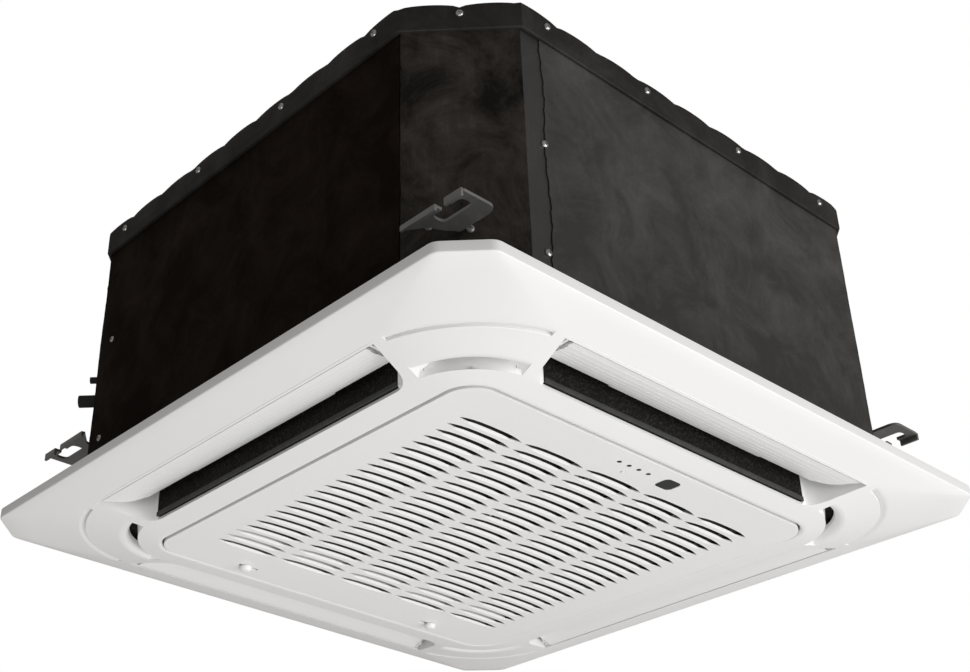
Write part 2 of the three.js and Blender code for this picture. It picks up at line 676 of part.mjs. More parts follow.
// Band folded over the top edge, its top edge scalloped between the fasteners.
function topBand() {
  const { low, top, out, thick, fold, bump, pitch } = BAND;
  const corner = BODY.corner + (out - BODY.half) * Math.tan(Math.PI / 8);
  const ring = (offset, heightAt) => {
    const side = corner - offset * Math.tan(Math.PI / 8);
    const reach = out - offset;
    const points = [];
    for (const quarter of SIDES) {
      const add = (x, y, wave) => {
        const p = new THREE.Vector2(x, y).rotateAround(new THREE.Vector2(), (quarter * Math.PI) / 2);
        points.push(new THREE.Vector3(p.x, p.y, heightAt(wave)));
      };
      add(-side, -reach, 0);
      for (let x = -4 * pitch; x <= 4 * pitch; x += pitch / 2) {
        add(x, -reach, Math.abs(Math.cos((Math.PI * x) / pitch)));
      }
      add(side, -reach, 0);
      for (const share of [0.25, 0.5, 0.75]) {
        add(side + (reach - side) * share, -reach + (reach - side) * share, share === 0.5 ? 0 : 1);
      }
    }
    return points;
  };
  return loft(
    [
      ring(0, () => low),
      ring(0, (wave) => top - 2.4 + wave * bump),
      ring(2.6, (wave) => top - 0.6 + wave * bump),
      ring(fold, () => top + 0.6),
      ring(fold, () => top - 2.4),
      ring(thick, () => top - 2.9),
      ring(thick, () => low),
    ],
    true,
  );
}

// Hanger bracket of the front left corner: a flange on the cut face, a flat tab with an open slot that the
// hanging bolt enters, and a turned-down lip that keeps the bolt in.
function hangerBracket() {
  const { x, y, right, z, sheet, lip, lipEnd, flange, gap } = BRACKET;
  const face = BODY.half + BODY.corner + gap * Math.SQRT2;
  const outline = [
    [-x, -y], [-right - 8, -y], [-right - 2, -y + 2.4], [-right, -y + 8],
    [-right, -(face - right)], [-x, -(face - x)],
  ];
  const tab = prism(outline.map((p) => new THREE.Vector2(...p)), z, z + sheet);
  const edge = box(-x - sheet, -x + 0.01, -y, -lipEnd, z - lip, z + sheet);
  const slotLong = [
    [-283.5, -277], [-277.5, -280.5], [-272, -277], [-272, -253], [-277.5, -249], [-283.5, -253],
  ];
  const slot = prism(slotLong.map((p) => new THREE.Vector2(...p)), z - 20, z + 20);
  const mouth = box(-x - 10, -277, -272, -260, z - 20, z + 20);
  const width = 62;
  const plate = solid(
    new THREE.BoxGeometry(width, sheet, flange)
      .translate(0, 0, flange / 2)
      .rotateZ(-Math.PI / 4)
      .translate(-face / 2 - sheet * 0.5 * Math.SQRT1_2, -face / 2 - sheet * 0.5 * Math.SQRT1_2, z),
  );
  return join(tab.subtract(slot), edge, plate).subtract(mouth);
}

function foamLiner() {
  const outer = octagonInside(BODY.jacket + BODY.steel + 2 * GAP);
  const half = OUTLET_DUCT.outer;
  const inner = octagon(half, BODY.corner - (BODY.half - half) * Math.tan(Math.PI / 8));
  const walls = prism(outer, PAN.top + GAP, BODY.top - BODY.steel - GAP, [inner.slice().reverse()]);
  return walls.subtract(throughHoles(1.2));
}

function drainPan() {
  const outer = octagonInside(BODY.jacket + BODY.steel + 2 * GAP);
  let pan = prism(outer, PAN.bottom, PAN.top, [circle(0, 0, PAN.hole, 32).reverse()]);
  const { inner, outer: far, end } = OUTLET_DUCT;
  const slot = box(-end, end, -far, -inner, 0, 100);
  const island = roundedSquare(204, 24, 4).reverse();
  const trough = prism(roundedSquare(232, 38, 4), PAN.top - 18, PAN.top + 5, [island]);
  for (const side of SIDES) pan = pan.subtract(turn(slot, side));
  return pan.subtract(trough);
}

function bellmouth() {
  const { throat, rim, top, wall } = BELL;
  const profile = [];
  const outerSide = [];
  const steps = 4;
  const span = 40;
  for (let i = 0; i <= steps; i++) {
    const angle = (i / steps) * (Math.PI / 2);
    const r = throat + span * (1 - Math.cos(angle));
    const z = PAN.bottom + 36 - span * 0.9 * Math.sin(angle);
    profile.push([r, z]);
    outerSide.push([r + wall, z + wall]);
  }
  const brim = [[rim, 16.2], [rim, 18], [153, 18]];
  const start = [throat, top];
  return revolve([start, ...profile, ...brim, ...outerSide.reverse(), [throat + wall, top], start], 32);
}

// The finned coil bent round the fan, open at the back left corner where the pipes come in.
function coilPath(offset) {
  const { outer, radius } = COIL;
  const half = outer - offset;
  const bend = radius - offset;
  const stop = 148;
  const points = [new THREE.Vector2(-stop, half)];
  for (const quarter of [0, 1, 2]) {
    for (let i = 0; i <= 5; i++) {
      const angle = Math.PI / 2 - ((quarter + i / 5) * Math.PI) / 2;
      const cx = quarter === 2 ? -1 : 1;
      const cy = quarter === 0 ? 1 : -1;
      const centre = outer - radius;
      points.push(new THREE.Vector2(cx * centre + bend * Math.cos(angle), cy * centre + bend * Math.sin(angle)));
    }
  }
  points.push(new THREE.Vector2(-half, stop));
  return points;
}

function coilBand(inset, depth, z0, z1) {
  return prism([...coilPath(inset), ...coilPath(inset + depth).reverse()].reverse(), z0, z1);
}

function heatExchanger() {
  return coilBand(0, COIL.thick, COIL.bottom, COIL.top);
}

function refrigerantPipe({ r, z, out }) {
  return pipeRun(r, z, PIPES.u, -62, out, 14);
}

function flareNut({ r, z }) {
  const nut = pipeRun(r * 1.75, z, PIPES.u, -40, -27, 6);
  return nut.subtract(pipeRun(r + GAP, z, PIPES.u, -50, 0, 14));
}

// Backward-curved impeller: hub disc, blades and the ring they end in.
function turboFan() {
  const { outer, hub, bottom, top, blades, wall } = FAN;
  const disc = revolve([
    [6.3, top], [outer, top], [outer, top - wall], [hub + 8, top - wall], [hub - 8, top - 34],
    [6.3, top - 34], [6.3, top],
  ], 32);
  const shroud = revolve([
    [112, bottom], [122, bottom + 7], [outer, bottom + 22], [outer, bottom + 22 + wall],
    [120, bottom + 7 + wall], [109, bottom + wall], [112, bottom],
  ], 32);
  let fan = disc.add(shroud);
  for (let i = 0; i < blades; i++) {
    const turned = blade().rotate([0, 0, (360 / blades) * i]);
    fan = fan.add(turned);
  }
  return fan;
}

function blade() {
  const { outer, hub, bottom, top } = FAN;
  const front = [];
  const back = [];
  const steps = 6;
  for (let i = 0; i <= steps; i++) {
    const t = i / steps;
    const radius = hub + 12 + (outer - 3 - hub - 12) * t;
    const angle = radians(-52 * t ** 0.9);
    const half = (4.4 * Math.sin(Math.PI * (0.15 + 0.75 * t))) / radius;
    front.push(new THREE.Vector2(radius * Math.cos(angle + half), radius * Math.sin(angle + half)));
    back.push(new THREE.Vector2(radius * Math.cos(angle - half), radius * Math.sin(angle - half)));
  }
  const full = prism([...back, ...front.reverse()], bottom + 4, top - 1);
  // the inlet side of each blade follows the hub and the ring
  const inlet = revolve([
    [0, bottom - 5], [108.6, bottom - 5], [108.6, bottom + 30], [60, bottom + 60], [0, bottom + 60],
    [0, bottom - 5],
  ], 32);
  const below = revolve([
    [100, bottom - 6], [170, bottom - 6], [170, bottom + 33.5], [outer, bottom + 23.2], [121, bottom + 8.2],
    [110.5, bottom + 1.2], [100, bottom + 1.2], [100, bottom - 6],
  ], 32);
  return cut(full, inlet, below);
}

function fanMotor() {
  const { r, bottom, top, shaft } = MOTOR;
  const can = revolve([
    [0, bottom], [r - 6, bottom], [r, bottom + 6], [r, bottom + 22], [r + 7, bottom + 23], [r + 7, bottom + 27],
    [r, bottom + 28], [r, top - 6], [r - 6, top], [0, top],
  ], 20);
  const axle = bar(0, 0, shaft, FAN.top - 30, bottom + 1, 12);
  const feet = [45, 135, 225, 315].map((angle) =>
    bar((r + 2) * Math.cos(radians(angle)), (r + 2) * Math.sin(radians(angle)), 5, bottom + 25, top, 8),
  );
  return join(can, axle, ...feet);
}

function controlBox() {
  const tray = box(175, 212, -118, 118, -9, 17.6);
  const inside = box(176.6, 210.4, -116.4, 116.4, -12, 16);
  const relays = [[-80, 20], [-30, 12], [30, 16], [84, 22]].map(([y, size]) =>
    box(184, 203, y - size / 2, y + size / 2, 8, 16.2),
  );
  return join(tray.subtract(inside), ...relays);
}

const controlCover = () =>
  join(
    box(174.6, 212.4, -118.4, 118.4, -11, -9 - GAP),
    box(177, 210, -116, -114.6, -9.4, -6),
    box(177, 210, 114.6, 116, -9.4, -6),
  );

function terminalBlock() {
  const block = box(185, 202, -6, 6, -6, 4);
  const walls = [-6, -2, 2, 6].map((y) => box(184, 203, y - 0.6, y + 0.6, -8, 4));
  return join(block, ...walls).translate([0, -55, 0]);
}

function drainPump() {
  const at = [-196, 216];
  const can = revolve([
    [0, 68.3], [17, 68.3], [17, 76], [11, 92], [11, 104], [20, 106], [20, 150], [17, 154], [0, 154],
  ], 20);
  const spout = bar(0, 14, 5, 94, 101, 10);
  return join(can, spout).translate([at[0], at[1], 0]);
}

function floatSwitch() {
  const { x, y } = FLOAT;
  const stem = bar(x, y, 1.8, 72, 124, 8);
  const head = box(x - 8, x + 8, y - 6, y + 6, 116, 128);
  const foot = bar(x, y, 3.4, 68.3, 72.5, 10);
  return join(stem, head, foot);
}

function floatRing() {
  const { x, y } = FLOAT;
  return cut(bar(x, y, 6.5, 73, 85, 14), bar(x, y, 2.2, 70, 90, 8));
}

function drainSpigot() {
  const { x, z, r } = DRAIN;
  const tube = cut(barY(262, 303, x, z, r, 18), barY(240, 304, x, z, r - 2.2, 18));
  const collar = cut(barY(286, 289, x, z, r + 5, 18), barY(240, 304, x, z, r - 1, 18));
  return tube.add(collar);
}

function cableGrommet() {
  const disc = (r, x0, x1) => barX(x0, x1, GROMMET.y, GROMMET.z, r, 18);
  return cut(join(disc(GROMMET.r, 266, 288), disc(GROMMET.r + 4, 285.6, 288)), disc(GROMMET.r - 6, 260, 290));
}

// ---- assembly ----

const unit = new THREE.Group();

function place(name, made, look, side = 0, parent = unit) {
  const material = new THREE.MeshStandardMaterial(COLOURS[look]);
  const mesh = new THREE.Mesh(geometryOf(made), material);
  mesh.name = name;
  mesh.rotation.z = (side * Math.PI) / 2;
  parent.add(mesh);
}

place("casing", casing(), "steel");
place("insulation_jacket", insulationJacket(), "black");
place("top_band", topBand(), "black");
const bracket = hangerBracket();
const mirrored = bracket.mirror([1, 0, 0]);
place("hanger_bracket_front_left", bracket, "zinc");
place("hanger_bracket_front_right", mirrored, "zinc");
place("hanger_bracket_back_right", bracket, "zinc", 2);
place("hanger_bracket_back_left", mirrored, "zinc", 2);
place("wall_foam", foamLiner(), "foam");
place("drain_pan", drainPan(), "foam");
place("bellmouth", bellmouth(), "white");
place("heat_exchanger", heatExchanger(), "aluminium");
place("gas_pipe", refrigerantPipe(PIPES.gas), "dark");
place("liquid_pipe", refrigerantPipe(PIPES.liquid), "dark");
place("gas_flare_nut", flareNut(PIPES.gas), "steel");
place("liquid_flare_nut", flareNut(PIPES.liquid), "steel");
place("turbo_fan", turboFan(), "white");
place("fan_motor", fanMotor(), "steel");
place("control_box", controlBox(), "steel");
place("control_box_cover", controlCover(), "steel");
place("terminal_block", terminalBlock(), "white");
place("drain_pump", drainPump(), "dark");
place("float_switch", floatSwitch(), "dark");
place("float_ring", floatRing(), "white");
place("drain_spigot", drainSpigot(), "dark");
place("cable_grommet", cableGrommet(), "dark");

place("panel_frame", panelFrame(), "white");
place("duct_foam", ductFoam(), "foam");
const cover = cornerCover();
const seal = outletSeal();
const vaneSolid = vane();
const motor = vaneMotor();
const bush = vaneBush();
for (const side of SIDES) {
  const name = SIDE_NAMES[side];
  place("corner_cover_" + CORNER_NAMES[(side + 2) % 4], cover, "white", side);
  place("outlet_seal_" + name, seal, "grey", side);
  place("vane_" + name, vaneSolid, "white", side);
  place("vane_motor_" + name, motor, "dark", side);
  place("vane_bush_" + name, bush, "dark", side);
}
place("intake_grille", intakeGrille(), "white");
place("air_filter", airFilter(), "dark");
place("latch_left", latch(-1), "white");
place("latch_right", latch(1), "white");
place("receiver_window", receiverWindow(), "dark");
place("display_board", displayBoard(), "board");
place("push_button", pushButton(), "white");
place("hinge_pin_left", hingePin(-1), "steel");
place("hinge_pin_right", hingePin(1), "steel");

export default unit;
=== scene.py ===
"""Looks of a ceiling cassette air conditioner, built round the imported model, in metres."""

import logging
import math
from collections.abc import Callable, Iterable, Sequence
from dataclasses import dataclass
from enum import Enum
from typing import Any

import bmesh
import bpy
from mathutils import Matrix, Vector


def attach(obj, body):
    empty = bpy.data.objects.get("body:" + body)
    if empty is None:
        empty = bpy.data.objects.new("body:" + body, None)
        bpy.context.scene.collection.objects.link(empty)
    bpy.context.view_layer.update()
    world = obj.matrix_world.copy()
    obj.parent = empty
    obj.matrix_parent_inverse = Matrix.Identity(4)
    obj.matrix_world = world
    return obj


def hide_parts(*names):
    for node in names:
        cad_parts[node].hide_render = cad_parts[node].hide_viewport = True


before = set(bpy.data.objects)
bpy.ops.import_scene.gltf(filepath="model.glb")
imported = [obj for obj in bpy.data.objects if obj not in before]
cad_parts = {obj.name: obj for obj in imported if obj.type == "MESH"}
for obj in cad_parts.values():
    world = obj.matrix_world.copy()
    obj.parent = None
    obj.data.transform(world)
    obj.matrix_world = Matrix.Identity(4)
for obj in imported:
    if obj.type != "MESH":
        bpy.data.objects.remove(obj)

log = logging.getLogger("cassette")
MM = 0.001
BODY_MIDDLE = 0.14
Point2 = tuple[float, float]
Point3 = tuple[float, float, float]
Colour = tuple[float, float, float]


# ---------------------------------------------------------------- material nodes


class Wire:
    """The output of a node, which takes part in sums and products as a number does."""

    def __init__(self, nodes: "Nodes", socket: bpy.types.NodeSocket) -> None:
        """Keep the socket and the nodes that it belongs to."""
        self.nodes = nodes
        self.socket = socket

    def _sum(self, operation: str, first: Any, second: Any) -> "Wire":
        """Add one Math node.

        Args:
            operation: the Math node's operation.
            first: its first value, a Wire or a number.
            second: its second value, a Wire or a number.

        Returns:
            The node's output.
        """
        return self.nodes.make("ShaderNodeMath", {"operation": operation}, {0: first, 1: second})

    def __add__(self, other: Any) -> "Wire":
        """Sum of the two."""
        return self._sum("ADD", self, other)

    def __sub__(self, other: Any) -> "Wire":
        """This less the other."""
        return self._sum("SUBTRACT", self, other)

    def __rsub__(self, other: Any) -> "Wire":
        """The other less this."""
        return self._sum("SUBTRACT", other, self)

    def __mul__(self, other: Any) -> "Wire":
        """Product of the two."""
        return self._sum("MULTIPLY", self, other)

    __radd__ = __add__
    __rmul__ = __mul__


class Nodes:
    """The nodes of one material, round its Principled shader."""

    def __init__(self, name: str) -> None:
        """Start a material with that name."""
        self.material = bpy.data.materials.new(name)
        self.material.use_nodes = True
        self.tree = self.material.node_tree
        self.shader = self.tree.nodes["Principled BSDF"]

    def make(
        self, kind: str, settings: dict[str, Any], values: dict[int | str, Any], output: int | str = 0
    ) -> Wire:
        """Add a node.

        Args:
            kind: the node's type.
            settings: its own settings, set first; "stops" holds a ramp's (place, grey) pairs.
            values: numbers, colours or Wires for its sockets.
            output: which output is returned.

        Returns:
            The chosen output.
        """
        node = self.tree.nodes.new(kind)
        for key, value in settings.items():
            if key == "stops":
                self._stops(node.color_ramp, value)
            else:
                setattr(node, key, value)
        for key, value in values.items():
            self.feed(node.inputs[key], value)
        return Wire(self, node.outputs[output])

    def _stops(self, ramp: bpy.types.ColorRamp, stops: Sequence[Point2]) -> None:
        """Give a colour ramp its stops."""
        while len(ramp.elements) > 1:
            ramp.elements.remove(ramp.elements[-1])
        for i, (place, shade) in enumerate(stops):
            stop = ramp.elements[0] if i == 0 else ramp.elements.new(place)
            stop.position = place
            stop.color = (shade, shade, shade, 1.0)

    def feed(self, socket: bpy.types.NodeSocket, value: Any) -> None:
        """Link a Wire to a socket, or set the socket's value."""
        if isinstance(value, Wire):
            self.tree.links.new(value.socket, socket)
        elif isinstance(value, tuple) and socket.type == "RGBA":
            socket.default_value = (*value, 1.0)
        else:
            socket.default_value = value

    def place(self, scale: Point3 = (1.0, 1.0, 1.0)) -> Wire:
        """Object coordinates, stretched."""
        spot = self.make("ShaderNodeTexCoord", {}, {}, "Object")
        return self.make("ShaderNodeMapping", {}, {"Vector": spot, "Scale": scale})

    def axis(self, index: int) -> Wire:
        """One of the three object coordinates."""
        spot = self.make("ShaderNodeTexCoord", {}, {}, "Object")
        return self.make("ShaderNodeSeparateXYZ", {}, {0: spot}, index)

    def wave(self, index: int, pitch: float) -> Wire:
        """A sine wave along one of the object coordinates, with its pitch in metres."""
        turns = self.axis(index) * (math.tau / pitch)
        return self.make("ShaderNodeMath", {"operation": "SINE"}, {0: turns})

    def noise(
        self, where: Wire, scale: float, detail: float = 3.0, rough: float = 0.5, warp: float = 0.0
    ) -> Wire:
        """Grey noise, 0 to 1."""
        values = {"Vector": where, "Scale": scale, "Detail": detail, "Roughness": rough}
        return self.make("ShaderNodeTexNoise", {}, {**values, "Distortion": warp}, "Fac")

    def cells(self, where: Wire, scale: float, output: str, distance: str = "EUCLIDEAN") -> Wire:
        """Voronoi cells: the distance to a cell's point or the cell's colour."""
        values = {"Vector": where, "Scale": scale}
        return self.make("ShaderNodeTexVoronoi", {"distance": distance}, values, output)

    def ramp(self, value: Wire, *stops: Point2) -> Wire:
        """A value looked up along stops."""
        return self.make("ShaderNodeValToRGB", {"stops": stops}, {"Fac": value}, "Color")

    def mix(self, share: Any, first: Any, second: Any, blend: str = "MIX") -> Wire:
        """Two colours mixed."""
        settings = {"data_type": "RGBA", "blend_type": blend}
        return self.make("ShaderNodeMix", settings, {0: share, 6: first, 7: second}, 2)

    def bump(self, height: Wire, distance: float) -> Wire:
        """A surface normal from a height, with the distance in metres."""
        values = {"Height": height, "Distance": distance, "Strength": 1.0}
        return self.make("ShaderNodeBump", {}, values, "Normal")

    def set(self, **sockets: Any) -> bpy.types.Material:
        """Feed the Principled shader's sockets, named with _ for a space, and return the material."""
        for name, value in sockets.items():
            self.feed(self.shader.inputs[name.replace("_", " ")], value)
        return self.material


# ---------------------------------------------------------------- finishes


@dataclass(frozen=True)
class MouldedPlastic:
    """Satin moulded plastic with a fine grain and faint flow marks."""

    name: str
    colour: Colour
    roughness: float = 0.42
    grain: float = 0.00002
    fleck: float = 0.02

    def material(self) -> bpy.types.Material:
        """Build the material."""
        n = Nodes(self.name)
        where = n.place()
        shade = 1.0 - self.fleck * n.noise(where, 9.0, 2.0)
        tint = n.make("ShaderNodeCombineColor", {}, {0: shade, 1: shade, 2: shade})
        colour = n.mix(1.0, self.colour, tint, "MULTIPLY")
        rough = self.roughness + 0.08 * (n.noise(where, 60.0) - 0.5)
        fine = n.noise(where, 1400.0, 2.0)
        return n.set(Base_Color=colour, Roughness=rough, Normal=n.bump(fine, self.grain))


@dataclass(frozen=True)
class InsulationSheet:
    """Black insulation: matt, scuffed and smeared, with fine upright scratches.

    The smears are the share of the light colour, and rise paints light in, making the sheet lighter with
    height.
    """

    name: str
    dark: Colour
    light: Colour
    smears: float
    roughness: float
    shine: float = 0.5
    rise: float = 0.0

    def material(self) -> bpy.types.Material:
        """Build the material."""
        n = Nodes(self.name)
        where = n.place()
        patches = n.ramp(n.noise(where, 17.0, 9.0, 0.70, 0.5), (0.40, 0.0), (0.68, 1.0))
        streaks = n.noise(n.place((55.0, 55.0, 5.0)), 5.0, 5.0, 0.7, 0.4)
        scratches = n.ramp(streaks, (0.50, 0.0), (0.66, 1.0))
        fleece = n.noise(where, 420.0, 4.0, 0.7)
        smeared = patches * self.smears * (0.8 + 0.2 * scratches)
        # rise: painted light, lighter towards the top of the body.
        mask = smeared + 0.25 * (fleece - 0.5) + self.rise * (n.axis(2) - BODY_MIDDLE)
        colour = n.mix(mask, self.dark, self.light)
        rough = self.roughness + 0.22 * (fleece - 0.5) - 0.10 * patches
        height = 0.55 * fleece + 0.9 * n.noise(where, 38.0, 5.0, 0.6) + 0.3 * streaks
        n.set(Specular_IOR_Level=self.shine)
        return n.set(Base_Color=colour, Roughness=rough, Normal=n.bump(height, 0.00045))


@dataclass(frozen=True)
class BeadFoam:
    """Moulded bead foam: packed round beads with dark joints between them."""

    name: str
    dark: Colour = (0.004, 0.0035, 0.003)
    light: Colour = (0.034, 0.029, 0.025)
    beads_per_metre: float = 420.0

    def material(self) -> bpy.types.Material:
        """Build the material."""
        n = Nodes(self.name)
        where = n.place()
        beads = n.cells(where, self.beads_per_metre, "Distance")
        worn = n.noise(where, 190.0, 5.0, 0.75)
        mask = n.ramp(worn * (1.15 - beads), (0.30, 0.0), (0.62, 1.0))
        colour = n.mix(mask, self.dark, self.light)
        rough = 0.82 + 0.12 * (worn - 0.5)
        n.set(Specular_IOR_Level=0.2)
        return n.set(Base_Color=colour, Roughness=rough, Normal=n.bump(1.0 - beads, 0.0006))


@dataclass(frozen=True)
class SheetMetal:
    """Rolled sheet: spangle or brushing, with duller and brighter patches."""

    name: str
    colour: Colour
    roughness: float = 0.36
    metallic: float = 0.9
    brushed: float = 0.0

    def material(self) -> bpy.types.Material:
        """Build the material."""
        n = Nodes(self.name)
        where = n.place()
        spangle = n.cells(where, 110.0, "Color")
        grey = n.make("ShaderNodeSeparateColor", {}, {"Color": spangle}, 0)
        wear = n.noise(where, 45.0, 5.0, 0.6)
        lines = n.noise(n.place((1.0, 1.0, 30.0)), 60.0, 4.0, 0.6)
        dull = tuple(c * 0.62 for c in self.colour)
        colour = n.mix(0.35 * grey + 0.65 * wear, dull, self.colour)
        rough = self.roughness + 0.16 * (wear - 0.5) + 0.08 * (grey - 0.5)
        height = wear * (1.0 - self.brushed) + lines * self.brushed
        n.set(Metallic=self.metallic)
        return n.set(Base_Color=colour, Roughness=rough, Normal=n.bump(height, 0.00006))


@dataclass(frozen=True)
class SoftRubber:
    """Matt rubber, foam tape or pipe lagging, with a fine dusty skin."""

    name: str
    colour: Colour

    def material(self) -> bpy.types.Material:
        """Build the material."""
        n = Nodes(self.name)
        where = n.place()
        skin = n.noise(where, 520.0, 4.0, 0.65)
        dust = n.ramp(n.noise(where, 95.0, 5.0, 0.7), (0.42, 0.0), (0.75, 1.0))
        pale = tuple(c * 1.9 + 0.01 for c in self.colour)
        colour = n.mix(dust * 0.5 + 0.3 * (skin - 0.5), self.colour, pale)
        rough = 0.75 + 0.2 * (skin - 0.5)
        return n.set(Base_Color=colour, Roughness=rough, Normal=n.bump(skin, 0.00012))


@dataclass(frozen=True)
class FinPack:
    """Aluminium fins edge-on: fine upright plates with dark gaps."""

    name: str
    pitch: float = 0.0018

    def material(self) -> bpy.types.Material:
        """Build the material."""
        n = Nodes(self.name)
        ribs = n.wave(0, self.pitch) + n.wave(1, self.pitch)
        mask = n.ramp(0.5 + 0.3 * ribs, (0.25, 0.0), (0.6, 1.0))
        colour = n.mix(mask, (0.08, 0.08, 0.085), (0.62, 0.63, 0.65))
        n.set(Roughness=0.38, Metallic=0.85)
        return n.set(Base_Color=colour, Normal=n.bump(ribs, 0.0003))


@dataclass(frozen=True)
class FilterNet:
    """Dark woven net: threads crossing on a fine pitch."""

    name: str
    pitch: float = 0.0016

    def material(self) -> bpy.types.Material:
        """Build the material."""
        n = Nodes(self.name)
        threads = {0: n.wave(0, self.pitch), 1: n.wave(1, self.pitch)}
        weave = n.make("ShaderNodeMath", {"operation": "MAXIMUM"}, threads)
        mask = n.ramp(weave, (0.3, 0.0), (0.9, 1.0))
        colour = n.mix(mask, (0.002, 0.002, 0.002), (0.022, 0.021, 0.020))
        return n.set(Base_Color=colour, Roughness=0.7, Normal=n.bump(weave, 0.0002))


@dataclass(frozen=True)
class CircuitBoard:
    """Green lacquered board with paler tracks."""

    name: str

    def material(self) -> bpy.types.Material:
        """Build the material."""
        n = Nodes(self.name)
        tracks = n.cells(n.place((1.0, 2.2, 1.0)), 160.0, "Distance", "MANHATTAN")
        mask = n.ramp(tracks, (0.30, 1.0), (0.36, 0.0))
        colour = n.mix(mask, (0.012, 0.075, 0.035), (0.035, 0.16, 0.075))
        rough = 0.35 + 0.2 * tracks
        return n.set(Base_Color=colour, Roughness=rough, Normal=n.bump(mask, 0.00005))


class Finish(Enum):
    """The finishes of the unit."""

    WHITE = MouldedPlastic("white_abs", (0.83, 0.83, 0.825))
    WHITE_INNER = MouldedPlastic("white_inner", (0.70, 0.70, 0.69), 0.5)
    SMOKED = MouldedPlastic("smoked_window", (0.022, 0.022, 0.023), 0.16, 0.000004, 0.2)
    DARK = MouldedPlastic("dark_plastic", (0.035, 0.034, 0.033), 0.5)
    GREY = MouldedPlastic("grey_plastic", (0.20, 0.20, 0.195), 0.5)
    LAMP = MouldedPlastic("lamp_lens", (0.008, 0.009, 0.008), 0.3)
    # The next three are one insulation in painted light and shade: a paler, shinier copy for the faces
    # towards the key light, a near-black copy as painted shade for the faces away from it, and an in-between
    # copy for the cut corners.
    JACKET_LIT = InsulationSheet(
        "jacket_painted_lit", (0.024, 0.0225, 0.021), (0.080, 0.078, 0.075), 0.8, 0.62, 0.35, 1.3
    )
    JACKET_SHADED = InsulationSheet(
        "jacket_painted_shade", (0.0066, 0.0032, 0.0016), (0.025, 0.0165, 0.012), 0.8, 0.8, 0.06
    )
    JACKET_HALF_LIT = InsulationSheet(
        "jacket_mottled_half_lit", (0.0055, 0.0038, 0.0028), (0.070, 0.060, 0.051), 0.9, 0.75, 0.16
    )
    STRIP = InsulationSheet("corner_strip", (0.020, 0.0195, 0.019), (0.055, 0.054, 0.052), 0.35, 0.5)
    BAND = InsulationSheet(
        "band_sheet", (0.013, 0.0118, 0.0108), (0.052, 0.049, 0.046), 0.6, 0.62, 0.2
    )
    FOAM = BeadFoam("bead_foam")
    SEAL = SoftRubber("seal_strip", (0.026, 0.026, 0.025))
    RUBBER = SoftRubber("pipe_rubber", (0.014, 0.014, 0.014))
    ZINC = SheetMetal("dark_zinc", (0.30, 0.30, 0.295), 0.40, 0.55)
    STEEL = SheetMetal("casing_steel", (0.52, 0.53, 0.54))
    SCREW = SheetMetal("screw_steel", (0.62, 0.62, 0.60), 0.24)
    BRASS = SheetMetal("brass", (0.62, 0.44, 0.18), 0.3)
    MOTOR = SheetMetal("motor_shell", (0.42, 0.43, 0.44), 0.4, 0.8, 0.5)
    FINS = FinPack("fin_pack")
    NET = FilterNet("filter_net")
    BOARD = CircuitBoard("circuit_board")


class Dresser:
    """Keeps one material per finish."""

    made: dict[Finish, bpy.types.Material] = {}

    @classmethod
    def get(cls, finish: Finish) -> bpy.types.Material:
        """The material of a finish, built the first time it is asked for."""
        if finish not in cls.made:
            cls.made[finish] = finish.value.material()
        return cls.made[finish]


# ---------------------------------------------------------------- mesh tools


def line(first: Point2, last: Point2, steps: int) -> list[Point2]:
    """Points from first towards last, without the last."""
    return [tuple(a + (b - a) * i / steps for a, b in zip(first, last)) for i in range(steps)]


def curve(first: Point2, bend: Point2, last: Point2, steps: int) -> list[Point2]:
    """Points of a quadratic curve, with both ends."""
    points = []
    for i in range(steps + 1):
        t = i / steps
        weights = ((1 - t) ** 2, 2 * t * (1 - t), t * t)
        points.append(tuple(sum(w * p[k] for w, p in zip(weights, (first, bend, last))) for k in (0, 1)))
    return points


def polar(radius: float, angle: float, centre: Point2 = (0.0, 0.0)) -> Point2:
    """The point at a radius and an angle in degrees round a centre."""
    turn = math.radians(angle)
    return centre[0] + radius * math.cos(turn), centre[1] + radius * math.sin(turn)


def four_sides(corner: Sequence[Point2], side_steps: int) -> list[Point2]:
    """A closed outline from the points of its first corner, turned four times.

    Args:
        corner: points from the +X side to the +Y side.
        side_steps: pieces of each straight side.

    Returns:
        The outline, anticlockwise.
    """
    outline: list[Point2] = []
    for c, s in ((1, 0), (0, 1), (-1, 0), (0, -1)):
        turned = [(x * c - y * s, x * s + y * c) for x, y in corner]
        x, y = corner[0]
        outline += turned + line(turned[-1], (-y * c - x * s, -y * s + x * c), side_steps)[1:]
    return outline


def rounded_square(half: float, radius: float, steps: int = 16, side_steps: int = 20) -> list[Point2]:
    """A square with round corners, in millimetres."""
    centre = (half - radius, half - radius)
    return four_sides([polar(radius, 90 * i / steps, centre) for i in range(steps + 1)], side_steps)


def cut_square(half: float, cut: float, soft: float, side_steps: int = 20) -> list[Point2]:
    """A square with cut corners whose edges are softened, with as many points as a rounded square."""
    side = half - cut
    slip = soft * math.sqrt(0.5)
    first = curve((half, side - soft), (half, side), (half - slip, side + slip), 5)
    last = curve((side + slip, half - slip), (side, half), (side - soft, half), 5)
    return four_sides([*first, *line(first[-1], last[0], 6)[1:], *last], side_steps)


def blend(first: Sequence[Point2], last: Sequence[Point2], share: float) -> list[Point2]:
    """An outline part of the way between two."""
    return [tuple(a[k] + (b[k] - a[k]) * share for k in (0, 1)) for a, b in zip(first, last)]


def lifted(outline: Iterable[Point2], z: float | Callable[[float, float], float]) -> list[Point3]:
    """An outline at a height, which may depend on the point."""
    return [(x, y, z(x, y) if callable(z) else z) for x, y in outline]


def quarter(turns: float) -> Matrix:
    """A turn about Z by quarter turns."""
    return Matrix.Rotation(turns * math.pi / 2, 4, "Z")


def shift(x: float, y: float, z: float) -> Matrix:
    """A move by millimetres."""
    return Matrix.Translation(Vector((x, y, z)) * MM)


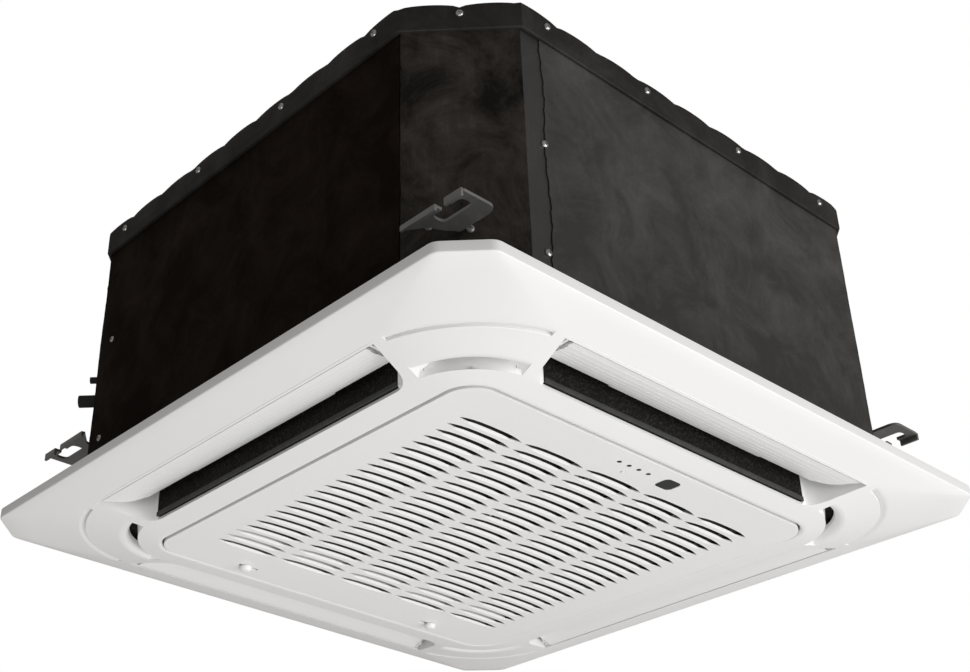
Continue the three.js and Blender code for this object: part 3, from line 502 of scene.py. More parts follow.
class Sculpt:
    """A bmesh being shaped, with points given in millimetres."""

    def __init__(self) -> None:
        """Start empty."""
        self.bm = bmesh.new()

    def loop(self, points: Sequence[Point3]) -> tuple[list[bmesh.types.BMVert], list[bmesh.types.BMEdge]]:
        """A closed wire through points: its corners and its edges."""
        verts = [self.bm.verts.new(Vector(p) * MM) for p in points]
        return verts, [self.bm.edges.new(pair) for pair in zip(verts, verts[1:] + verts[:1])]

    def loft(self, rings: Sequence[Sequence[Point3]], torus: bool = False) -> "Sculpt":
        """A skin over closed rings of equal point counts, each drawn out of the one before.

        Args:
            rings: the rings in order.
            torus: join the last ring to the first instead of closing both ends with a face.

        Returns:
            This sculpt.
        """
        start, first = self.loop(rings[0])
        verts, edges = start, first
        for ring in [*rings[1:], *([rings[0]] if torus else [])]:
            drawn = bmesh.ops.extrude_edge_only(self.bm, edges=edges)["geom"]
            fresh = {g for g in drawn if isinstance(g, bmesh.types.BMVert)}
            ends = [[e.other_vert(v) for e in v.link_edges] for v in verts]
            verts = [next(v for v in others if v in fresh) for others in ends]
            lines = [g for g in drawn if isinstance(g, bmesh.types.BMEdge)]
            edges = [e for e in lines if all(v in fresh for v in e.verts)]
            for vert, spot in zip(verts, ring):
                vert.co = Vector(spot) * MM
        if torus:
            bmesh.ops.weld_verts(self.bm, targetmap=dict(zip(verts, start)))
        else:
            bmesh.ops.contextual_create(self.bm, geom=first)
            bmesh.ops.contextual_create(self.bm, geom=edges)
        return self.outward()

    def prism(self, outline: Sequence[Point2], z0: float, z1: float) -> "Sculpt":
        """An outline drawn out from one height to another."""
        return self.loft([lifted(outline, z0), lifted(outline, z1)])

    def plate(self, outlines: Sequence[Sequence[Point2]], z0: float, z1: float) -> "Sculpt":
        """A flat plate with holes: the first outline is its edge, the others are its holes."""
        edges = [edge for outline in outlines for edge in self.loop(lifted(outline, z0))[1]]
        filled = bmesh.ops.triangle_fill(self.bm, use_beauty=True, use_dissolve=False, edges=edges)
        faces = [g for g in filled["geom"] if isinstance(g, bmesh.types.BMFace)]
        raised = bmesh.ops.extrude_face_region(self.bm, geom=faces, use_keep_orig=True)
        verts = [g for g in raised["geom"] if isinstance(g, bmesh.types.BMVert)]
        bmesh.ops.translate(self.bm, verts=verts, vec=(0, 0, (z1 - z0) * MM))
        return self.outward()

    def block(self, low: Point3, high: Point3, soft: float = 0.0, segments: int = 2) -> "Sculpt":
        """A box between two corners, its edges rounded if asked."""
        size = [(b - a) * MM for a, b in zip(low, high)]
        middle = [(a + b) / 2 for a, b in zip(low, high)]
        matrix = shift(*middle) @ Matrix.Diagonal((*size, 1.0))
        made = bmesh.ops.create_cube(self.bm, size=1.0, matrix=matrix)
        if soft:
            edges = dict.fromkeys(edge for vert in made["verts"] for edge in vert.link_edges)
            bmesh.ops.bevel(
                self.bm, geom=list(edges), offset=soft * MM, offset_type="OFFSET", segments=segments,
                profile=0.5, affect="EDGES", clamp_overlap=True, material=-1,
            )
        return self

    def spin(self, profile: Sequence[Point2], segments: int) -> "Sculpt":
        """A closed (radius, height) profile turned about the Z axis."""
        verts, wire = self.loop([(r, 0.0, z) for r, z in profile])
        bmesh.ops.spin(
            self.bm, geom=wire + verts, cent=(0, 0, 0), axis=(0, 0, 1), angle=math.tau, steps=segments,
            use_merge=True, use_duplicate=False,
        )
        bmesh.ops.remove_doubles(self.bm, verts=self.bm.verts[:], dist=1e-7)
        thin = [face for face in self.bm.faces if face.calc_area() < 1e-14]
        bmesh.ops.delete(self.bm, geom=thin, context="FACES_ONLY")
        return self.outward()

    def moved(self, matrix: Matrix) -> "Sculpt":
        """Move, turn or mirror everything."""
        bmesh.ops.transform(self.bm, matrix=matrix, verts=self.bm.verts[:])
        if matrix.determinant() < 0:
            bmesh.ops.reverse_faces(self.bm, faces=self.bm.faces[:])
        return self

    def with_copy(self, other: "Sculpt", matrix: Matrix = Matrix.Identity(4)) -> "Sculpt":
        """Add a copy of another sculpt, moved by a matrix."""
        mesh = bpy.data.meshes.new("copy")
        other.bm.to_mesh(mesh)
        mesh.transform(matrix)
        if matrix.determinant() < 0:
            mesh.flip_normals()
        self.bm.from_mesh(mesh)
        bpy.data.meshes.remove(mesh)
        return self

    def outward(self) -> "Sculpt":
        """Turn all faces outwards."""
        bmesh.ops.recalc_face_normals(self.bm, faces=self.bm.faces[:])
        return self

    def mesh(self, name: str) -> bpy.types.Mesh:
        """The finished mesh, which uses the sculpt up."""
        made = bpy.data.meshes.new(name)
        self.bm.to_mesh(made)
        self.bm.free()
        return made

    def cut(self, tools: Sequence["Sculpt"], operation: str = "DIFFERENCE") -> "Sculpt":
        """Cut other sculpts away, or join them.

        Args:
            tools: the sculpts to work with, which are used up.
            operation: the Boolean modifier's operation.

        Returns:
            This sculpt, changed.
        """
        base = bpy.data.objects.new("base", self.mesh("base"))
        tool = Sculpt()
        for each in tools:
            tool.with_copy(each)
            each.bm.free()
        cutter = bpy.data.objects.new("cutter", tool.mesh("cutter"))
        for each in (base, cutter):
            bpy.context.scene.collection.objects.link(each)
        modifier = base.modifiers.new("cut", "BOOLEAN")
        modifier.operation = operation
        modifier.solver = "EXACT"
        modifier.object = cutter
        bpy.context.view_layer.update()
        shaped = base.evaluated_get(bpy.context.evaluated_depsgraph_get())
        self.bm = bmesh.new()
        self.bm.from_mesh(shaped.to_mesh())
        shaped.to_mesh_clear()
        for each in (base, cutter):
            bpy.data.objects.remove(each)
        bmesh.ops.remove_doubles(self.bm, verts=self.bm.verts[:], dist=4e-6)
        bmesh.ops.dissolve_degenerate(self.bm, edges=self.bm.edges[:], dist=4e-6)
        return self


@dataclass
class Piece:
    """A finished piece: where its mesh goes, what it stands for and what it is made of."""

    name: str
    body: str
    finish: Finish
    slot: str
    replaces: tuple[str, ...] = ()
    smooth: float = 32.0
    bevel: float = 0.0
    bevel_angle: float = 50.0

    def build(self, sculpt: Sculpt) -> bpy.types.Object:
        """Make the object and fix it to its body.

        Args:
            sculpt: the shape, which is used up.

        Returns:
            The object.
        """
        mesh = sculpt.mesh(self.name)
        mesh.materials.append(Dresser.get(self.finish))
        made = bpy.data.objects.new(self.name, mesh)
        bpy.context.scene.collection.objects.link(made)
        mesh.shade_smooth()
        mesh.set_sharp_from_angle(angle=math.radians(self.smooth))
        if self.bevel:
            edge = made.modifiers.new("edge", "BEVEL")
            edge.width = self.bevel * MM
            edge.segments = 2
            edge.limit_method = "ANGLE"
            edge.angle_limit = math.radians(self.bevel_angle)
            edge.harden_normals = True
        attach(made, self.body)
        if self.replaces:
            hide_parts(*self.replaces)
        log.info("%s on %s: %d faces", self.name, self.body, len(mesh.polygons))
        return made


SIDES = ("front", "right", "back", "left")
CORNERS = ("front_left", "front_right", "back_right", "back_left")


# ---------------------------------------------------------------- ceiling panel


@dataclass
class CeilingPanel:
    """The white panel: low rim, domed face, four outlets, corner vents and corner covers (mm).

    The mouth, lip and outer pairs give the height of the face where its square is that large. An outlet's
    end starts at its outer edge and goes by its knee and bend to the straight inner edge. Sections of the
    vents and covers are (radius, height above the face) pairs round a corner's centre. Below is how far
    down the cutters of the outlets and of the corners reach.
    """

    half: float = 325.0
    corner_cut: float = 31.0
    soft: float = 5.0
    rim: float = 9.5
    wall: float = 2.6
    centre: float = 180.0
    mouth_centre: float = 185.0
    mouth: Point2 = (211.5, -31.6)
    lip: Point2 = (238.0, -28.3)
    outer: Point2 = (286.0, -19.0)
    corner_drop: float = 1.8
    below: Point2 = (-42.0, -40.0)
    mouth_roll: tuple[Point2, ...] = (
        (211.5, 4.4), (211.6, 2.4), (211.9, 1.4), (212.5, 0.6), (213.4, 0.15),
    )
    face: tuple[float, ...] = (215.2, 218, 225, 231, 238, 245, 253, 261, 269, 277, 286)
    inner_face: tuple[float, ...] = (286, 262, 238, 218)
    collar: tuple[Point3, ...] = ((217.4, 30.0, -14.0), (213.4, 28.0, -14.0))
    outlet: tuple[Point2, ...] = ((188.0, -286.0), (178.8, -257.0), (173.2, -236.6), (156.5, -236.2))
    outlet_top: float = 8.0
    outlet_skin: float = 2.4
    duct_y: float = -238.75
    side_wall_y: float = -285.9
    vent_roll: float = 73.6
    vent_spread: Point2 = (41.4, 0.165)
    vent_top: float = -12.7
    vent_end_lean: float = 16.5
    vent_skin: float = 1.6
    lining: tuple[Point2, ...] = ((50.0, -12.5), (80.0, -12.5), (80.0, -9.5), (50.0, -9.5))
    lining_spread: float = 44.0
    roll_under: tuple[Point2, ...] = (
        (73.6, 0.0), (72.0, 0.15), (70.2, 0.6), (68.4, 1.35), (66.9, 2.4), (65.7, 3.8), (64.9, 5.4),
        (64.5, 7.2),
    )
    roll_over: tuple[Point2, ...] = (
        (64.4, 9.6), (65.9, 9.6), (66.2, 7.8), (67.2, 6.0), (69.5, 4.2), (73.6, 2.8),
    )
    groove: tuple[Point2, ...] = (
        (104.0, 0.3), (104.02, 3.7), (104.5, 3.2), (105.2, 2.35), (106.1, 1.55), (107.2, 0.85),
        (108.4, 0.35), (109.5, 0.08),
    )
    cover_end: float = 110.6
    cover_spread: float = 34.7
    cover_thick: float = 5.2
    arm: tuple[float, float] = (146.0, 3.0)
    arm_parts: tuple[tuple[float, float, float, float], ...] = (
        (-217.0, -213.8, -14.5, 7.0), (-217.0, -183.0, 2.8, 7.0), (-187.0, -183.0, -26.5, 7.0),
    )

    def face_z(self, half: float) -> float:
        """Height of the face where its square is that large."""
        stops = (self.mouth, self.lip, self.outer, (self.half, -self.rim - 0.4))
        for (h0, z0), (h1, z1) in zip(stops, stops[1:]):
            if half <= h1:
                return z0 + (z1 - z0) * (half - h0) / (h1 - h0)
        return stops[-1][1]

    def sag(self, x: float, y: float, share: float) -> float:
        """How far the face hangs lower at a corner than along a side."""
        over, up = abs(x) - self.centre, abs(y) - self.centre
        if over <= 0 or up <= 0:
            return 0.0
        return self.corner_drop * share * 2 * over * up / (over * over + up * up)

    def square(self, half: float) -> list[Point2]:
        """The rounded square of that size, whose corners open out from the mouth to the outlets."""
        if half >= self.lip[0]:
            return rounded_square(half, half - self.centre)
        return rounded_square(half, half - self.mouth_centre + (half - self.mouth[0]) * 0.19)

    def dome(self, half: float, lift: float = 0.0) -> list[Point3]:
        """A ring of the face between the mouth and the outlets' outer edge."""
        share = max(0.0, (half - self.lip[0]) / (self.outer[0] - self.lip[0]))
        z = self.face_z(half) + lift
        return lifted(self.square(half), lambda x, y: z - self.sag(x, y, share))

    def rim_ring(self, inset: float, z: float) -> list[Point3]:
        """A ring round the rim."""
        return lifted(cut_square(self.half - inset, self.corner_cut, self.soft), z)

    def between(self, share: float, lift: float = 0.0) -> list[Point3]:
        """A ring between the outlets' outer edge and the rim."""
        inner = rounded_square(self.outer[0], self.outer[0] - self.centre)
        edge = cut_square(self.half - 1.4, self.corner_cut, self.soft)
        z = self.outer[1] + (-self.rim - 0.5 - self.outer[1]) * share + lift
        return lifted(blend(inner, edge, share), lambda x, y: z - self.sag(x, y, 1 - share))

    def shell(self) -> Sculpt:
        """The shell before its openings are cut, from the mouth over the face and rim and back inside."""
        wall, low = self.wall, -self.rim
        flat = self.face_z(self.face[0])
        rings = [lifted(self.square(half), flat + up) for half, up in self.mouth_roll]
        rings += [self.dome(half) for half in self.face]
        rings += [self.between(share) for share in (0.25, 0.5, 0.75, 1.0)]
        outside = ((0.55, low - 0.05), (0.1, low + 0.7), (0.0, low + 1.8), (0.0, -0.5), (0.5, 0.0))
        inside = ((wall - 0.4, 0.0), (wall, -0.4), (wall, wall + low))
        rings += [self.rim_ring(inset, z) for inset, z in (*outside, *inside)]
        rings += [self.between(share, wall) for share in (0.7, 0.35)]
        rings += [self.dome(half, wall) for half in self.inner_face]
        rings += [lifted(rounded_square(half, radius), z) for half, radius, z in self.collar]
        return Sculpt().loft(rings, torus=True)

    def outlet_end(self, offset: float = 0.0) -> list[Point2]:
        """One end of the front outlet in plan, from its outer edge inwards, moved outwards by an offset."""
        start, knee, bend, last = self.outlet
        knee = (knee[0] + offset, knee[1])
        bend = (bend[0] + offset, bend[1] + offset)
        last = (last[0], last[1] + offset)
        return line((start[0] + offset, start[1]), knee, 4) + curve(knee, bend, last, 12)

    def outlet_cutter(self) -> Sculpt:
        """What is cut out of the shell for the front outlet."""
        right = self.outlet_end()
        left = [(-x, y) for x, y in reversed(right)]
        return Sculpt().prism([*right, *left], self.below[0], 4)

    def outlet_wall(self) -> Sculpt:
        """The white wall round the front outlet: both curved ends and the long outer side."""
        skin = self.outlet_skin
        inner, outer = self.outlet_end(0.02)[:-2], self.outlet_end(skin)[:-2]
        outer[0] = (outer[0][0], self.outlet[0][1] - skin)
        leaning = [(x - 0.3, min(y, self.duct_y)) for x, y in inner]
        half = list(zip(inner, outer, leaning))
        other = [tuple((-x, y) for x, y in spots) for spots in reversed(half)]
        rings = []
        for (x0, y0), (x1, y1), (x2, y2) in [*other, *half]:
            low, top = self.face_z(-y0) + 0.3, self.outlet_top
            y0, y2 = max(y0, self.side_wall_y), max(y2, self.side_wall_y)
            inside = ((x2, y2, top), (x2, y2, low + skin))
            rings.append([(x0, y0, low), (x1, y1, low), (x1, y1, top), *inside])
        return Sculpt().loft(rings)

    def on_face(self, radius: float, angle: float) -> float:
        """Height of the face at a radius and an angle about a corner's centre."""
        c, s = polar(1.0, angle)
        sag = 2 * c * s * self.corner_drop
        outlets = self.outer[0] - self.centre
        if radius <= outlets:
            share = max(0.0, (self.centre + radius - self.lip[0]) / (self.outer[0] - self.lip[0]))
            return self.face_z(self.centre + radius) - sag * share
        side = self.half - 1.4 - self.centre
        edge = min(side / c, side / s, (2 * side - self.corner_cut) / (c + s))
        share = (radius - outlets) / (edge - outlets)
        return self.outer[1] + (-self.rim - 0.5 - self.outer[1]) * share - sag * (1 - share)

    def arc_block(
        self, profile: Callable[[float], list[Point2]], spread: float | Callable[[float], float]
    ) -> Sculpt:
        """A block along an arc about the corner centre at (+, +).

        Args:
            profile: the (radius, height) points of its section at an angle in degrees.
            spread: how many degrees to each side of the diagonal it reaches, which may depend on the radius.

        Returns:
            The block.
        """
        steps = 34
        reach = spread if callable(spread) else lambda radius: spread
        rings = []
        for i in range(steps + 1):
            turn = 2 * i / steps - 1
            section = profile(45 + turn * reach(self.vent_roll))
            spots = [polar(r, 45 + turn * reach(r), (self.centre, self.centre)) for r, _ in section]
            rings.append([(x, y, z) for (x, y), (_, z) in zip(spots, section)])
        return Sculpt().loft(rings)

    def vent_reach(self, radius: float) -> float:
        """How far a vent reaches to each side of the diagonal; its ends are slanted."""
        widest, slant = self.vent_spread
        return widest - slant * (radius - 57.5)

    def lip_radius(self, angle: float) -> float:
        """Radius of a vent's inner lip, whose arc is a little flatter than the cover's."""
        return 55.7 + 2.6 * ((angle - 45) / 41) ** 2

    def vent_cutter(self) -> Sculpt:
        """What is cut out for a corner vent."""

        def section(angle: float) -> list[Point2]:
            """Section of the opening."""
            near, far, low = self.lip_radius(angle), self.vent_roll, self.below[1]
            return [(near, low), (far, low), (far, 6), (near, 6)]

        return self.arc_block(section, self.vent_reach)

    def raised(self, section: Iterable[Point2]) -> Callable[[float], list[Point2]]:
        """A section given above the face, as a function of the angle."""
        return lambda angle: [(r, self.on_face(r, angle) + up) for r, up in section]

    def vent_lip(self, angle: float) -> list[Point2]:
        """Section of the wall behind a vent's lip, which leans over the duct's corners at its ends."""
        r = self.lip_radius(angle)
        low = self.on_face(r, angle)
        swell = 2.5 * ((angle - 45) / 35) ** 4
        top, back = self.vent_top, r - self.vent_skin
        over = [(r + swell, -25.0), (r + max(1.8, swell), top), (back, top)]
        return [(r, low + 0.3), *over, (back, low + 1.0)]

    def vent_end(self, mirrored: bool) -> Sculpt:
        """The leaning wall at one end of a vent."""
        centre, top = (self.centre, self.centre), self.vent_top
        rings = []
        for radius in (56.0, 62.0, 68.0, self.vent_roll):
            angle = 45 - self.vent_reach(radius)
            x, y = polar(radius, angle, centre)
            low = self.on_face(radius, angle) + 0.3
            far = polar(radius, angle + self.vent_end_lean, centre)
            back = y - self.vent_skin
            ring = [(x, y, low), (x, back, low), (x, back, top), (*far, top)]
            rings.append([(b, a, z) for a, b, z in ring] if mirrored else ring)
        return Sculpt().loft(rings)

    def vent_walls(self) -> list[Sculpt]:
        """The roll that leads the cover up into a vent, the wall behind its lip and its two ends."""
        roll = self.arc_block(self.raised((*self.roll_under, *self.roll_over)), self.vent_reach)
        lip = self.arc_block(self.vent_lip, self.vent_reach)
        return [roll, lip, self.vent_end(False), self.vent_end(True)]

    def vent_lining(self) -> Sculpt:
        """The dark foam over a vent."""
        return self.arc_block(lambda angle: list(self.lining), self.lining_spread)

    def corner_cover(self) -> Sculpt:
        """A cover with a sharp outer lip, and the groove beside it that rolls out to the panel's face."""
        start, end = (self.vent_roll, 0.0), (self.groove[0][0] - 0.35, 0.0)
        under = [*line(start, end, 10), end, *self.groove, (self.cover_end, 0.0)]
        over = [(self.cover_end, self.cover_thick), (self.vent_roll, self.cover_thick)]
        return self.arc_block(self.raised((*under, *over)), self.cover_spread)

    def cover_cutter(self) -> Sculpt:
        """What is cut out for a corner cover."""
        near, far, low = self.vent_roll - 0.01, self.cover_end - 0.02, self.below[1]
        section = [(near, low), (far, low), (far, -6), (near, -6)]
        return self.arc_block(lambda angle: section, self.cover_spread - 0.02)

    def hinge_arms(self) -> Sculpt:
        """The two arms that reach over the grille's edge and carry its hinge."""
        made = Sculpt()
        middle, half = self.arm
        for x in (-middle, middle):
            for y0, y1, z0, z1 in self.arm_parts:
                made.with_copy(Sculpt().block((x - half, y0, z0), (x + half, y1, z1), 0.7))
        return made

    def build(self) -> None:
        """Make the panel and its covers."""
        shell = self.shell()
        for tool in (self.outlet_cutter, self.vent_cutter, self.cover_cutter):
            shell.cut([tool().moved(quarter(side)) for side in range(4)])
        linings = Sculpt()
        for side in range(4):
            for wall in (self.outlet_wall(), *self.vent_walls()):
                shell.with_copy(wall, quarter(side))
            linings.with_copy(self.vent_lining(), quarter(side))
        shell.with_copy(self.hinge_arms())
        Piece("panel", "unit", Finish.WHITE, "white_plastic", ("panel_frame",), 25.0, 0.4).build(shell)
        Piece("vent_linings", "unit", Finish.FOAM, "black_foam").build(linings)
        for side in range(4):
            name = "corner_cover_" + CORNERS[(side + 2) % 4]
            cover = self.corner_cover().moved(quarter(side))
            Piece(name + "_skin", "unit", Finish.WHITE, "white_plastic", (name,), 25.0).build(cover)


# ---------------------------------------------------------------- vanes


@dataclass
class AirVane:
    """A vane: seven long slats in steps along an arc, with stepped ends (mm).

    The corner is the outlet's outer corner, and the slant how much the outlet narrows inwards.
    """

    edge: Point2 = (-284.8, -18.6)
    chord: float = 40.0
    tilt: Point2 = (5.0, 30.0)
    thick: float = 2.4
    step: float = 0.09
    ends: tuple[float, ...] = (178.0, 177.0, 175.6, 174.6, 173.4, 171.0, 165.0)
    pivot: Point2 = (-281.0, -13.0)
    pin: tuple[float, float, float] = (185.2, 1.5, 18.4)
    cheek: tuple[Point2, ...] = ((-2.6, -4.2), (9.0, -2.6), (9.0, -1.0), (3.0, 3.2), (-2.0, 3.0), (-2.8, 0.0))
    corner: Point2 = (188.0, -286.0)
    slant: float = 0.317
    clearance: float = 3.4

    def stations(self) -> list[tuple[Point2, Point2]]:
        """Points along the arc with their normals."""
        made = []
        y, z = self.edge
        count = len(self.ends)
        for i in range(count + 1):
            along = polar(1.0, self.tilt[0] + (self.tilt[1] - self.tilt[0]) * i / count)
            made.append(((y, z), (-along[1], along[0])))
            y += along[0] * self.chord / count
            z += along[1] * self.chord / count
        return made

    def side_loop(self, sign: float) -> list[Point3]:
        """The closed line round one end of the vane."""
        stations = self.stations()
        lower: list[Point3] = []
        upper: list[Point3] = []
        for i, long in enumerate(self.ends):
            (y0, z0), n0 = stations[i]
            (y1, z1), n1 = stations[i + 1]
            drop = 0.0 if i == 0 else self.step
            back = self.thick * (0.6 if i == 0 else 1.0)
            short = sign * (long - 0.6)
            lower.append((sign * long, y0 - n0[0] * drop, z0 - n0[1] * drop))
            lower.append((sign * long, y1, z1))
            upper.append((short, y0 + n0[0] * back, z0 + n0[1] * back))
            upper.append((short, y1 + n1[0] * self.thick, z1 + n1[1] * self.thick))
        return lower + upper[::-1]

    def ridge(self) -> Sculpt:
        """The longer middle of the blade's inner edge."""
        y, z = self.stations()[-1][0]
        ring = [(y - 1.0, z - 0.5), (y + 2.2, z + 0.9), (y + 1.4, z + 3.0), (y - 1.6, z + 1.9)]
        return Sculpt().loft([[(x, *p) for p in ring] for x in (-94.0, 94.0)])

    def end_cheek(self, sign: int) -> Sculpt:
        """The cheek that carries the pin at one end, cut along the outlet's slanted end."""
        y, z = self.pivot
        ring = [[(sign * (x - v * self.slant), y + v, z + w) for v, w in self.cheek] for x in (180.6, 182.6)]
        return Sculpt().loft(ring)

    def end_pin(self, sign: int) -> Sculpt:
        """The pin at one end."""
        middle, radius, long = self.pin
        made = Sculpt()
        bmesh.ops.create_cone(
            made.bm, cap_ends=True, segments=20, radius1=radius * MM, radius2=radius * MM, depth=long * MM,
            matrix=shift(sign * middle, *self.pivot) @ Matrix.Rotation(math.pi / 2, 4, "Y"),
        )
        return made

    def end_shelf(self, sign: int) -> Sculpt:
        """The thin shelf above the slats' ends, which reaches close to the outlet's end."""
        rings = []
        for ((y, z), _), long in zip(self.stations(), self.ends[:5]):
            near, low = long - 6, z + 3.6
            far = self.corner[0] - (y - self.corner[1]) * self.slant - self.clearance
            section = ((near, 0), (far, 0), (far, 1), (near, 1))
            rings.append([(sign * x, y + 1, low + up) for x, up in section])
        return Sculpt().loft(rings)

    def build(self) -> None:
        """Make the four vanes."""
        for side, name in enumerate(SIDES):
            made = Sculpt().loft([self.side_loop(-1.0), self.side_loop(1.0)]).with_copy(self.ridge())
            for sign in (-1, 1):
                for part in (self.end_cheek, self.end_pin, self.end_shelf):
                    made.with_copy(part(sign))
            vane = "vane_" + name
            skin = Piece(vane + "_blade", vane, Finish.WHITE, "white_plastic", (vane,), 14.0)
            skin.build(made.moved(quarter(side)))


# ---------------------------------------------------------------- grille


@dataclass
class IntakeGrille:
    """The hinged grille: a dished field of lens-shaped slots in a flat border (mm).

    The slot's opening is how far its upper side is cut, which leaves a slope like a scoop's. The window is
    its middle, width, height and corner radius, and a latch its middle and its travel.
    """

    half: float = 209.9
    radius: float = 25.0
    z: float = -31.6
    thick: float = 1.6
    skirt: Point3 = (206.5, 21.5, 3.4)
    cols: int = 5
    rows: int = 24
    pitch: Point2 = (71.6, 13.85)
    slot: Point2 = (69.0, 9.4)
    opening: float = 6.4
    blunt: float = 3.4
    middle_y: float = -4.3
    dish: Point3 = (184.0, 173.0, 3.5)
    latch: Point3 = (118.0, 192.0, 6.0)
    window: tuple[float, float, float, float, float] = (38.3, -189.9, 18.4, 16.4, 4.6)
    lamps: tuple[Point2, ...] = ((-25.4, -192.6), (-13.6, -192.8), (-1.8, -192.9), (10.2, -192.8))
    button: Point2 = (-8.7, -181.9)
    filter_z: float = -22.0
    filter_border: tuple[Point2, ...] = ((180.0, 6.0), (172.0, 4.0))
    shield: Point3 = (176.0, 136.0, 171.0)
    rib: tuple[Point3, Point3] = ((-1.2, -172.0, -25.6), (1.2, 172.0, -22.1))
    lug: Point3 = (153.0, -188.0, -182.0)

    def sink(self, x: float, y: float) -> float:
        """How far the slot field is dished upwards."""
        half_x, half_y, depth = self.dish
        u = 1 - (x / half_x) ** 2
        v = 1 - ((y - self.middle_y) / half_y) ** 2
        return depth * u * v if u > 0 and v > 0 else 0.0

    def lens(self, x: float, y: float, steps: int = 11) -> list[Point2]:
        """One slot: two shallow arcs that meet in points."""
        points = []
        for sign in (-1, 1):
            for i in range(steps):
                t = math.cos(math.pi * i / steps)
                bow = (1 - abs(t) ** self.blunt) * self.slot[1] / 2
                points.append((x - sign * t * self.slot[0] / 2, y + sign * bow))
        return points

    def slots(self) -> list[list[Point2]]:
        """All the slots."""
        made = []
        for row in range(self.rows):
            for col in range(self.cols):
                x = (col - (self.cols - 1) / 2) * self.pitch[0]
                made.append(self.lens(x, self.middle_y + (row - (self.rows - 1) / 2) * self.pitch[1]))
        return made

    def disc(self, middle: Point2, radius: float, count: int = 20) -> list[Point2]:
        """A round outline."""
        return [polar(radius, 360 * i / count, middle) for i in range(count)]

    def window_outline(self, extra: float) -> list[Point2]:
        """The receiver window's outline, grown a little."""
        x, y, w, h, r = self.window
        points = []
        for turn, (cx, cy) in enumerate(((1, 1), (-1, 1), (-1, -1), (1, -1))):
            centre = (x + cx * (w / 2 - r), y + cy * (h / 2 - r))
            points += [polar(r + extra, (turn + i / 6) * 90, centre) for i in range(7)]
        return points

    def latch_slot(self, side: int) -> list[Point2]:
        """The slot that a latch slides in."""
        x, y, travel = self.latch
        middle = side * (x - travel / 2)
        return [(middle - 11, y - 2), (middle + 11, y - 2), (middle + 11, y + 2), (middle - 11, y + 2)]

    def scoop(self, x: float, y: float) -> float:
        """Where a point of a slot's upper edge moves to, so that the slot's far side slopes like a scoop."""
        row = (y - self.middle_y) / self.pitch[1] + (self.rows - 1) / 2
        col = x / self.pitch[0] + (self.cols - 1) / 2
        if not (-0.45 < row < self.rows - 0.55 and -0.48 < col < self.cols - 0.52):
            return y
        centre = y - (row - round(row)) * self.pitch[1]
        t = min(1.0, abs(col - round(col)) * self.pitch[0] * 2 / self.slot[0])
        near = centre - (1 - t ** self.blunt) * self.slot[1] / 2
        return min(y, near + self.opening) if y > centre else y

    def plate(self) -> Sculpt:
        """The plate with all its openings, and the skirt round its edge."""
        edge = rounded_square(self.half, self.radius, 12, 14)
        outlines = [edge, *self.slots(), *(self.disc(lamp, 2.2) for lamp in self.lamps)]
        outlines += [self.disc(self.button, 2.35), self.window_outline(0.3)]
        outlines += [self.latch_slot(side) for side in (-1, 1)]
        made = Sculpt().plate(outlines, self.z, self.z + self.thick)
        for vert in made.bm.verts:
            x, y, z = vert.co / MM
            vert.co.z += self.sink(x, y) * MM
            if z > self.z + self.thick / 2:
                vert.co.y = self.scoop(x, y) * MM
        half, radius, top = self.skirt
        skirt = [edge, rounded_square(half, radius, 12, 14)]
        return made.with_copy(Sculpt().plate(skirt, self.z + self.thick - 0.3, self.z + top))

    def build(self) -> None:
        """Make the grille and what is fixed to it."""
        plate = self.plate()
        top = self.z + self.thick
        for column in (-1.5, -0.5, 0.5, 1.5):
            plate.with_copy(Sculpt().block(*self.rib, 0.3, 1), shift(column * self.pitch[0], 0, 0))
        middle, y0, y1 = self.lug
        for x in (-middle, middle):
            plate.with_copy(Sculpt().block((x - 3, y0, top - 0.5), (x + 3, y1, -21.4), 0.8))
        skin = Piece("grille_plate", "grille", Finish.WHITE, "white_plastic", ("intake_grille",), 12.0)
        skin.bevel, skin.bevel_angle = 0.28, 60.0
        skin.build(plate)
        half, y0, y1 = self.shield
        shield = Sculpt().block((-half, y0, -22.9), (half, y1, self.filter_z), 0.3, 1)
        Piece("grille_shield", "grille", Finish.WHITE_INNER, "white_plastic").build(shield)
        window = Sculpt().prism(self.window_outline(0.0), self.z + 0.35, self.z + 3.0)
        pane = Piece("window_pane", "grille", Finish.SMOKED, "dark_plastic", ("receiver_window",), 30.0, 0.3)
        pane.build(window)
        lamps = Sculpt()
        for lamp in self.lamps:
            lamps.with_copy(Sculpt().prism(self.disc(lamp, 2.1), self.z + 0.4, top + 0.6))
        Piece("lamp_lenses", "grille", Finish.LAMP, "dark_plastic").build(lamps)
        button = Sculpt().prism(self.disc(self.button, 2.0), self.z - 0.5, self.z + 3.2)
        cap = Piece("button_cap", "push_button", Finish.WHITE, "white_plastic", ("push_button",), 30.0, 0.4)
        cap.build(button)
        edges = [rounded_square(half, radius, 3, 2) for half, radius in self.filter_border]
        border = Sculpt().plate(edges, self.filter_z, self.filter_z + 0.5)
        Piece("filter_border", "grille", Finish.GREY, "dark_plastic").build(border)
        self.latches()
        self.filter_clips()

